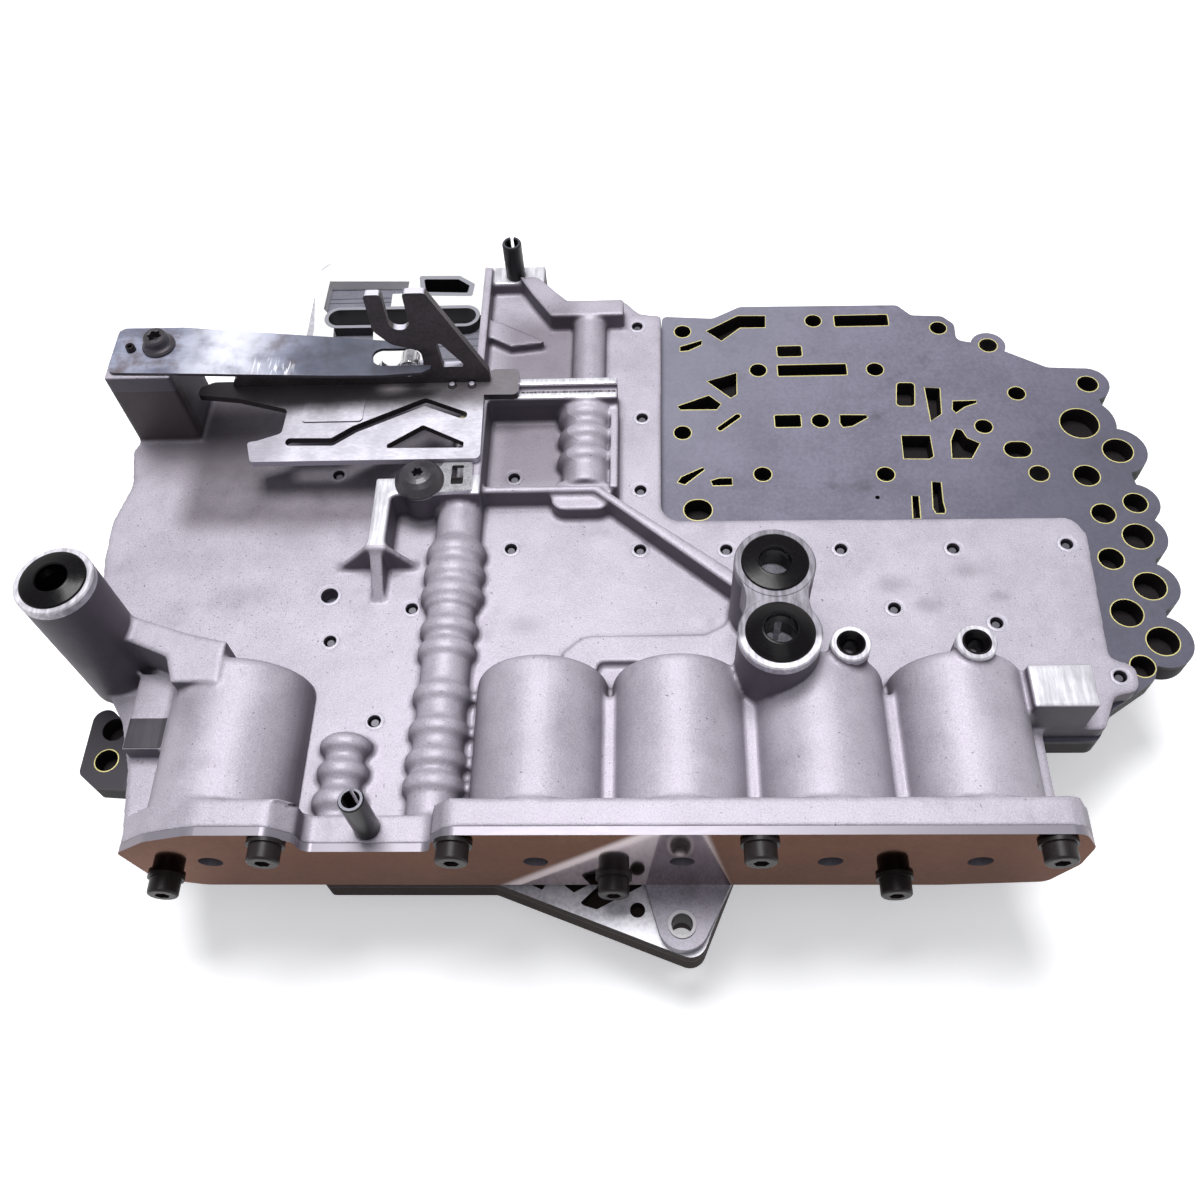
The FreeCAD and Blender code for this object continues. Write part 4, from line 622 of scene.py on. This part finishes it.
for number in ACCUMULATORS:
    NODE_LOOKS[f"accumulator_piston_{number}"] = MACHINED
    NODE_LOOKS[f"piston_seal_{number}"] = RUBBER
    NODE_LOOKS[f"accumulator_spring_{number}"] = BRIGHT
for name, thing in NODES.items():
    thing.data.materials.clear()
    thing.data.materials.append(NODE_LOOKS[name])


# Pieces

# How near points are joined, in metres
JOIN = 0.00001


def piece(name, mesh, looks, stands_for=()):
    """A visible piece from a mesh, riding on the body, and stands_for names the nodes it
    replaces."""
    thing = bpy.data.objects.new(name, mesh)
    bpy.context.scene.collection.objects.link(thing)
    mesh.materials.clear()
    mesh.materials.append(looks)
    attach(thing, "body")
    if stands_for:
        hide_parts(*stands_for)
    return thing


def modified(mesh, modifiers, soft=None):
    """A mesh put through some modifiers, each a kind and its settings. Soft is each point's
    weight in the vertex group of that name."""
    thing = bpy.data.objects.new("rough", mesh)
    bpy.context.scene.collection.objects.link(thing)
    if soft is not None:
        group = thing.vertex_groups.new(name="soft")
        for share in np.unique(soft[soft > 0]):
            group.add(np.nonzero(soft == share)[0].tolist(), float(share), "REPLACE")
    for kind, settings in modifiers:
        modifier = thing.modifiers.new(kind.lower(), kind)
        for name, value in settings.items():
            setattr(modifier, name, value)
    bpy.context.view_layer.update()
    graph = bpy.context.evaluated_depsgraph_get()
    result = bpy.data.meshes.new_from_object(thing.evaluated_get(graph), depsgraph=graph)
    bpy.data.objects.remove(thing)
    return result


def merged(name):
    """A copy of a node's mesh, its loose triangles joined."""
    form = bmesh.new()
    form.from_mesh(NODES[name].data)
    bmesh.ops.remove_doubles(form, verts=form.verts, dist=JOIN)
    return form


def formed(name, form, looks, stands_for=()):
    """A piece from a bmesh, its faces turned outwards."""
    bmesh.ops.recalc_face_normals(form, faces=form.faces)
    mesh = bpy.data.meshes.new(name)
    form.to_mesh(mesh)
    form.free()
    return piece(name, mesh, looks, stands_for)


# How near a turned form's points are joined and how near the axis counts as on it, in metres,
# and how far the lobes of a recess swell
AXIS_JOIN, ON_AXIS = 1e-7, 1e-6
LOBE_SWELL = 0.15


def turned(form, profile, spot, closed=True, lobes=0, steps=48):
    """Turns a profile of radii and heights about an upright axis, all in millimetres. Points
    nearer than lobes get the six lobes of a screw's recess."""
    known = len(form.verts)
    line = [form.verts.new(Vector((radius, 0, height)) * MM) for radius, height in profile]
    ends = line[1:] + line[:1] if closed else line[1:]
    edges = [form.edges.new(pair) for pair in zip(line, ends)]
    bmesh.ops.spin(form, geom=line + edges, axis=(0, 0, 1), cent=(0, 0, 0), angle=2 * pi,
                   steps=steps, use_merge=True)
    form.verts.ensure_lookup_table()
    bmesh.ops.remove_doubles(form, verts=form.verts[known:], dist=AXIS_JOIN)
    form.verts.ensure_lookup_table()
    fresh = form.verts[known:]
    for vert in fresh:
        if ON_AXIS < vert.co.xy.length < lobes * MM:
            swell = 1 + LOBE_SWELL * cos(6 * atan2(vert.co.y, vert.co.x))
            vert.co.x *= swell
            vert.co.y *= swell
    bmesh.ops.translate(form, verts=fresh, vec=at(*spot))


# Holes of the deck: the screws' and, last, a drain, each with its radius
HOLE, DRAIN = 2.05, 2.85
HOLES = [(x, y, HOLE) for x, y in (
    (-108, 86.6), (-133.6, 74.5), (-115.6, 45.6), (-77, 140.3), (-76.5, 110), (-32.5, 134.1),
    (-32.7, 109), (-33.5, 213), (-31.8, 167), (-3.8, 108.5), (34.3, 108.2), (71.2, 107.8),
    (108.5, 109), (49.2, 84.8), (80.7, 78.9), (115, 59.3), (-140, 142.9))]
HOLES.append((-136.2, 92, DRAIN))
# The skin stays crisp near a hole's edge and is pushed out behind its collar, but not at the
# hole's own middle, and only near the deck's level
HOLE_CRISP, HOLE_WIDER, HOLE_MIDDLE, HOLE_REACH = 1.4, 0.4, 0.2, 5

# Ports: place, level of the rim, radii of its mouth and outer edge, and the radii within which
# the skin is cut level and left unsmoothed
Port = namedtuple("Port", "x y top mouth outer cut crisp")
PORTS = [Port(8, 57.2, 90, 9.7, 12.25, 13.3, 13), Port(8, 81.4, 90, 9.7, 12.25, 13.3, 13),
         Port(-200.5, 66.3, 108, 9.3, 11.55, 12.6, 12),
         Port(29.5, 58.5, 81, 3.9, 6, 7.1, 6.8), Port(66, 58.5, 81, 3.9, 6, 7.1, 6.8)]
CUT_DEPTH = 0.4
CUT_LOW = 72

# Parts of the skin as boxes in cover places, each a low and a high corner: those left crisp,
# the ribs that are smoothed less, and the right half of the lone accumulator, made wider
FAR = 1000
CRISP = [((-91, 164.7, 67.2), (-39, 176.7, 73.2)), ((-FAR, -FAR, -FAR), (FAR, 3.4, FAR)),
         ((-FAR, -FAR, -FAR), (FAR, FAR, 52.5)), ((81, -FAR, 66), (102, 57, FAR)),
         ((-FAR, 32, 58), (-175, 45, FAR))]
RIBS = ((-107.4, -FAR, DECK + 1), (-81.4, 130, FAR))
RIB_SHARE = 0.4
LONE = ((-158, 11, DECK + 0.5), (-132, 58, FAR))
LONE_WIDER = 1.12

# The skin's grain in millimetres, how strongly and how often its soft parts are smoothed, and
# the share of its faces that is kept
VOXEL = 0.75
SMOOTHING, SOFT_ROUNDS = 0.5, 3
KEPT_FACES = 0.22
# How far the bosses' feet reach into the casting, and what counts as their foot
FOOT_DEPTH, FOOT_REACH = 0.4, 0.05


def joined_casting():
    """The casting's three nodes as one closed mesh, the bosses let into the deck."""
    form = merged("valve_body_casting")
    for name in ("casting_tube_boss", "casting_port_boss"):
        known = len(form.verts)
        form.from_mesh(NODES[name].data)
        form.verts.ensure_lookup_table()
        fresh = [form.verts[index] for index in range(known, len(form.verts))]
        foot = min(vert.co.z for vert in fresh)
        for vert in fresh:
            if vert.co.z < foot + FOOT_REACH * MM:
                vert.co.z -= FOOT_DEPTH * MM
    bmesh.ops.remove_doubles(form, verts=form.verts, dist=JOIN)
    mesh = bpy.data.meshes.new("casting_solid")
    form.to_mesh(mesh)
    form.free()
    return mesh


def boxed(places, box):
    """Which places lie inside a box."""
    low, high = box
    return ((places > low) & (places < high)).all(axis=1)


def fit_skin(places):
    """Fits the skin to the holes, ports and the lone accumulator, and gives back how soft each
    of its points is, from 0 for a crisp edge to 1."""
    soft = np.ones(len(places))
    for x, y, bore in HOLES:
        across, along = places[:, 0] - x, places[:, 1] - y
        away = np.hypot(across, along)
        soft[away < bore + HOLE_CRISP] = 0
        wall = ((away < bore + HOLE_WIDER) & (away > HOLE_MIDDLE)
                & (abs(places[:, 2] - DECK) < HOLE_REACH))
        spread = (bore + HOLE_WIDER) / away[wall]
        places[wall, 0] = x + across[wall] * spread
        places[wall, 1] = y + along[wall] * spread
    for port in PORTS:
        away = np.hypot(places[:, 0] - port.x, places[:, 1] - port.y)
        soft[(away < port.crisp) & (places[:, 2] > CUT_LOW)] = 0
    for box in CRISP:
        soft[boxed(places, box)] = 0
    soft[boxed(places, RIBS) & (soft > 0)] = RIB_SHARE
    lone = boxed(places, LONE)
    middle = LONE[0][0]
    places[lone, 0] = middle + (places[lone, 0] - middle) * LONE_WIDER
    for port in PORTS:
        away = np.hypot(places[:, 0] - port.x, places[:, 1] - port.y)
        level = port.top - CUT_DEPTH
        places[(away < port.cut) & (places[:, 2] > level), 2] = level
    return soft


def cast_skin():
    """The casting with the rounded corners and roots that a mould gives it."""
    grid = modified(joined_casting(), [("REMESH", {"mode": "VOXEL", "voxel_size": VOXEL * MM})])
    places = np.empty(len(grid.vertices) * 3)
    grid.vertices.foreach_get("co", places)
    places = places.reshape(-1, 3) / MM - np.array(SHIFT)
    soft = fit_skin(places)
    grid.vertices.foreach_set("co", ((places + np.array(SHIFT)) * MM).ravel())
    skin = modified(grid, [
        ("SMOOTH", {"factor": SMOOTHING, "iterations": 1}),
        ("SMOOTH", {"factor": SMOOTHING, "iterations": SOFT_ROUNDS, "vertex_group": "soft"}),
        ("DECIMATE", {"ratio": KEPT_FACES})], soft)
    for face in skin.polygons:
        face.use_smooth = True
    piece("casting_skin", skin, CAST,
          stands_for=["valve_body_casting", "casting_tube_boss", "casting_port_boss"])


# How level a plate's top face is: its normal's least height, and how near its level, in metres
FACES_UP, LEVEL_REACH = 0.9, 1e-6


def hole_loops(name, level):
    """Edge loops of a plate's holes in its top face, as lists of places."""
    form = merged(name)
    rim = {}
    for edge in form.edges:
        heights = [abs(vert.co.z - level) for vert in edge.verts]
        ups = [face.normal.z > FACES_UP for face in edge.link_faces]
        if max(heights) < LEVEL_REACH and any(ups) and not all(ups):
            first, second = edge.verts
            rim.setdefault(first.index, []).append(second.index)
            rim.setdefault(second.index, []).append(first.index)
    form.verts.ensure_lookup_table()
    loops = []
    seen = set()
    for start in sorted(rim):
        if start in seen:
            continue
        loop, here = [], start
        while here is not None:
            seen.add(here)
            loop.append(form.verts[here].co.copy())
            here = next((other for other in rim[here] if other not in seen), None)
        loops.append(loop)
    form.free()
    return loops


# Lacquer lines: how wide, how high at their inner and outer edge, and round which sizes of hole
RIM_WIDTH, RIM_INNER, RIM_OUTER = 0.34, 0.05, 0.03
RIM_SPREAD = (5.2, 40)


def plate_rims():
    """Thin bright lines of lacquer round the holes of the separator plate."""
    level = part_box("separator_plate")[1][2]
    form = bmesh.new()
    for loop in hole_loops("separator_plate", level):
        spread = max((a - b).length for a in loop for b in (loop[0], loop[len(loop) // 2]))
        if not RIM_SPREAD[0] * MM < spread < RIM_SPREAD[1] * MM:
            continue
        area = sum(a.x * b.y - b.x * a.y for a, b in zip(loop, loop[1:] + loop[:1]))
        turn = 1 if area > 0 else -1
        inner, outer = [], []
        for index, spot in enumerate(loop):
            way = loop[(index + 1) % len(loop)] - loop[index - 1]
            side = Vector((way.y, -way.x, 0)).normalized() * turn
            inner.append(form.verts.new(spot + Vector((0, 0, RIM_INNER * MM))))
            outer.append(form.verts.new(spot + side * RIM_WIDTH * MM
                                        + Vector((0, 0, RIM_OUTER * MM))))
        for index in range(len(loop)):
            following = (index + 1) % len(loop)
            form.faces.new((inner[index], inner[following], outer[following], outer[index]))
    formed("separator_rims", form, RIM)


def hole_collars():
    """Crisp mouths of the screw holes in the deck."""
    form = bmesh.new()
    for x, y, bore in HOLES:
        turned(form, [(bore, -1.35), (bore, -0.15), (bore + 0.15, 0.05), (bore + 0.55, 0.05),
                      (bore + 1.1, -0.12), (bore + 1.1, -1.35)], (x, y, DECK), steps=32)
    formed("hole_collars", form, CAST)


# The face between the two large ports: its middle, half outline, foot and height
WAIST_X = 8
WAIST = ((10.6, 62.5), (9.4, 66), (9.0, 69.3), (9.4, 72.6), (10.6, 76.1))
WAIST_FOOT, WAIST_HEIGHT = 76, 13.8


def port_faces():
    """Faced rims of the ports, and the face that joins the two large ones."""
    form = bmesh.new()
    for port in PORTS:
        turned(form, [(port.mouth, -3), (port.mouth, -0.3), (port.mouth + 0.35, 0.04),
                      (port.outer - 0.4, 0.04), (port.outer, -0.4), (port.outer, -3)],
               (port.x, port.y, port.top), steps=64)
    outline = [(-out, y) for out, y in WAIST] + [(out, y) for out, y in reversed(WAIST)]
    base = form.faces.new([form.verts.new(at(WAIST_X + x, y, WAIST_FOOT)) for x, y in outline])
    raised = bmesh.ops.extrude_face_region(form, geom=[base])["geom"]
    bmesh.ops.translate(form, vec=Vector((0, 0, WAIST_HEIGHT)) * MM,
                        verts=[part for part in raised if isinstance(part, bmesh.types.BMVert)])
    formed("port_faces", form, RIM_FACE)


# Large seals: node, place, level of foot and of the port's rim, rise above it, and radius
SEALS = [("front_port_seal", 8, 57.2, 81.2, 90, 2.8, 9.6),
         ("rear_port_seal", 8, 81.4, 81.2, 90, 1.2, 9.6),
         ("tube_seal", -200.5, 66.3, 94.2, 108, 1.7, 9.2)]
SEAL_FLANGE = 0.55
# Small seals: the X of each, and the Y they share
SMALL_SEALS = (29.5, 66)
SMALL_SEAL_Y = 58.5


def seals():
    """Raised rubber cones that seal the ports against their pipes."""
    for name, x, y, foot, rim, rise, bore in SEALS:
        form = bmesh.new()
        flange, top = bore + SEAL_FLANGE, rim + rise
        slope = [(flange - (flange - 5.6) * share, rim + 0.45 + (rise - 0.55) * share ** 0.8)
                 for share in (0.08, 0.3, 0.55, 0.8, 1)]
        turned(form, [(bore, foot), (bore, rim), (flange, rim + 0.08), (flange, rim + 0.3),
                      *slope, (5.2, top), (4.9, top), (4.7, top - 0.3), (4.65, top - 1.6),
                      (5.4, rim - 3.4), (5.4, foot)], (x, y, 0), steps=64)
        formed(name.replace("seal", "cone"), form, RUBBER, stands_for=[name])
    form = bmesh.new()
    for x in SMALL_SEALS:
        turned(form, [(3.6, 74.2), (3.85, 79.8), (4.3, 81.08), (4.1, 81.3), (3.7, 81.1),
                      (2.9, 79.9), (2.4, 79.2), (2.1, 78.4), (1.9, 74.2)],
               (x, SMALL_SEAL_Y, 0))
    formed("small_port_cups", form, RUBBER, stands_for=["small_port_seals"])


# Rolled pins: node, place and levels of foot and top, and the width of their slit in radians
PINS = [("front_roll_pin", -111, 7.2, 61.6, 88), ("rear_roll_pin", -81, 236.8, 57.6, 79)]
SLIT = 0.42


def roll_pins():
    """Rolled spring pins, their slits turned to the back."""
    for name, x, y, foot, top in PINS:
        form = bmesh.new()
        profile = [(3.15, foot), (3.6, foot + 0.4), (3.7, foot + 2), (3.7, top - 0.6),
                   (3.35, top), (2.6, top), (2.35, top - 0.5), (2.35, foot)]
        line = [form.verts.new(Vector((0, radius, height)) * MM) for radius, height in profile]
        edges = [form.edges.new(pair) for pair in zip(line, line[1:] + line[:1])]
        bmesh.ops.rotate(form, verts=line, cent=(0, 0, 0),
                         matrix=Matrix.Rotation(SLIT / 2, 3, "Z"))
        bmesh.ops.spin(form, geom=line + edges, axis=(0, 0, 1), cent=(0, 0, 0),
                       angle=2 * pi - SLIT, steps=44)
        bmesh.ops.holes_fill(form, edges=[edge for edge in form.edges if edge.is_boundary])
        bmesh.ops.translate(form, verts=form.verts, vec=at(x, y, 0))
        formed(name + "_rolled", form, PIN_STEEL, stands_for=[name])


PLATE_SCREW = (-107, 128.6, 0)
DETENT_SCREW = (-199, 173.5, 0)
SPRING_PIN = (-208.5, 172, 0)


def screws():
    """Screws with six-lobed recesses, and the locating pin of the leaf spring."""
    form = bmesh.new()
    turned(form, [(0, 73.6), (1.5, 73.6), (1.75, 76.4), (2.9, 76.3), (4.6, 75.8), (6.4, 74.7),
                  (7.7, 73.3), (8.3, 72.4), (8.4, 72.05), (8.2, 71.75), (2.9, 71.75),
                  (2.9, 60.4), (0, 60.4)], PLATE_SCREW, closed=False, lobes=2)
    formed("plate_screw_head", form, SCREW_BLACK, stands_for=["plate_screw"])
    form = bmesh.new()
    turned(form, [(0, 94.6), (1.9, 94.6), (2.2, 97.2), (2.7, 97.35), (3.7, 97.2), (4.2, 96.6),
                  (4.3, 94.6), (4.6, 94.1), (5.3, 93.7), (5.7, 93.0), (5.7, 92.5), (5.3, 92.25),
                  (3.1, 92.2), (3.1, 82.4), (0, 82.4)], DETENT_SCREW, closed=False,
           lobes=2.4)
    formed("detent_screw_head", form, SCREW_BLACK, stands_for=["detent_screw"])
    form = bmesh.new()
    turned(form, [(0.8, 86.2), (0.8, 93.8), (1.0, 94.2), (1.45, 94.2), (1.6, 93.8),
                  (1.6, 86.2)], SPRING_PIN, steps=32)
    formed("spring_dowel", form, BLACK_STEEL, stands_for=["spring_locating_pin"])


# Springs: their joint, where they stand and where they push along the frame's own Y, and how
# far they are pushed in, in millimetres
SPRINGS = [("short_valve_spring", "short_valve_slide", -85.7, -73.3, 6),
           ("long_valve_spring", "long_valve_slide", 117.7, 102.3, 7)]
SPRINGS += [(f"accumulator_spring_{number}", f"accumulator_{number}_slide", -92.2, -46.84, 20)
            for number in ACCUMULATORS]


def springs():
    """Springs as pieces of their own, each with a mesh of its own."""
    for name, joint, standing, pushed, travel in SPRINGS:
        coil = formed(name + "_coil", merged(name), BRIGHT, stands_for=[name])
        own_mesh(coil)


cast_skin()
plate_rims()
hole_collars()
port_faces()
seals()
roll_pins()
screws()
springs()


# Camera, light and floor

# The photo's camera: place in cover places, angles in degrees, lens and sensor in millimetres
CAMERA_PLACE = (-28.08, -111.78, 378.67)
ELEVATION, YAW, ROLL = 57.876, -5.077, 4.951
LENS, SENSOR = 34.672, 36
NEAREST = 0.01


def set_camera():
    """Camera at the photographed angle."""
    elevation, yaw, roll = radians(ELEVATION), radians(YAW), radians(ROLL)
    ahead = Vector((sin(yaw) * cos(elevation), cos(yaw) * cos(elevation), -sin(elevation)))
    side = Vector((cos(yaw), -sin(yaw), 0))
    down = ahead.cross(side)
    right = cos(roll) * side + sin(roll) * down
    below = cos(roll) * down - sin(roll) * side
    camera = bpy.data.objects.new("camera", bpy.data.cameras.new("camera"))
    bpy.context.scene.collection.objects.link(camera)
    turn = Matrix((right, -below, -ahead)).transposed().to_4x4()
    camera.matrix_world = Matrix.Translation(at(*CAMERA_PLACE)) @ turn
    camera.data.sensor_width = SENSOR
    camera.data.lens = LENS
    camera.data.clip_start = NEAREST
    bpy.context.scene.camera = camera


# Lamps: name, place in metres, power in watts, width and height in metres. All aim at one point.
LAMPS = [("key", (-0.08, 0.26, 1.35), 16.5, 0.55, 0.5),
         ("fill", (0.1, -0.45, 1.3), 1.5, 0.6, 0.6)]
AIM = (0, 0, 0.05)


def add_light(name, place, power, width, height):
    """A soft rectangular lamp aimed at the part."""
    data = bpy.data.lights.new(name, "AREA")
    data.shape = "RECTANGLE"
    data.energy = power
    data.size = width
    data.size_y = height
    lamp = bpy.data.objects.new(name, data)
    bpy.context.scene.collection.objects.link(lamp)
    lamp.location = place
    lamp.rotation_euler = (Vector(AIM) - Vector(place)).to_track_quat("-Z", "Y").to_euler()


# Half the floor's width in metres, and its tones: as a lamp's light finds it, as paper, and its
# own glow
FLOOR_HALF = 4
FLOOR_LIT = (0.20, 0.19, 0.20)
PAPER = ((0.95, 0.95, 0.95), (0.98, 0.98, 0.98))
FLOOR_GLOW = (0.42, 0.42, 0.43)


def set_floor():
    """Pale floor that throws little light back on the part."""
    mesh = bpy.data.meshes.new("floor")
    mesh.from_pydata([(x * FLOOR_HALF, y * FLOOR_HALF, 0)
                      for x, y in ((-1, -1), (1, -1), (1, 1), (-1, 1))], [], [(0, 1, 2, 3)])
    floor = bpy.data.objects.new("floor", mesh)
    bpy.context.scene.collection.objects.link(floor)
    shader = Shader("floor")
    shown = shader.shown()
    tone = shader.mix(FLOOR_LIT, shader.mix(*PAPER, shader.noise(300, 2)), shown)
    glow = shader.mix((0, 0, 0), FLOOR_GLOW, shown)
    mesh.materials.append(shader.finish(Base_Color=tone, Roughness=0.9, Emission_Color=glow,
                                        Emission_Strength=1.0))


# The surroundings: their tone overhead, and lower down as light and as shown. Both turn from the
# lower tone to the upper one from the same height on, over a rise of their own.
OVERHEAD = (0.39, 0.395, 0.42)
DIM = (0.013, 0.011, 0.013)
BACKDROP = (1, 1, 1)
LOW_SKY = 0.3
LIGHT_RISE, SHOWN_RISE = 0.62, 0.32


def set_surroundings():
    """Light from overhead only, and a white backdrop where the surroundings are seen."""
    world = bpy.data.worlds.new("world")
    bpy.context.scene.world = world
    world.use_nodes = True
    tree = world.node_tree
    sky = Shader(tree=tree)
    height = sky.node("SeparateXYZ", None, {0: sky.node("TexCoord", output="Generated")}, "Z")
    light = sky.mix(DIM, OVERHEAD, ((height - LOW_SKY) * (1 / LIGHT_RISE)).clamp())
    backdrop = sky.mix(BACKDROP, OVERHEAD, height.fade(LOW_SKY, LOW_SKY + SHOWN_RISE))
    back = tree.nodes["Background"]
    sky.feed(back.inputs[0], sky.mix(light, backdrop, sky.shown()))
    back.inputs[1].default_value = 1.0


set_camera()
set_floor()
set_surroundings()
for lamp in LAMPS:
    add_light(*lamp)
bpy.context.scene.view_settings.view_transform = "Standard"
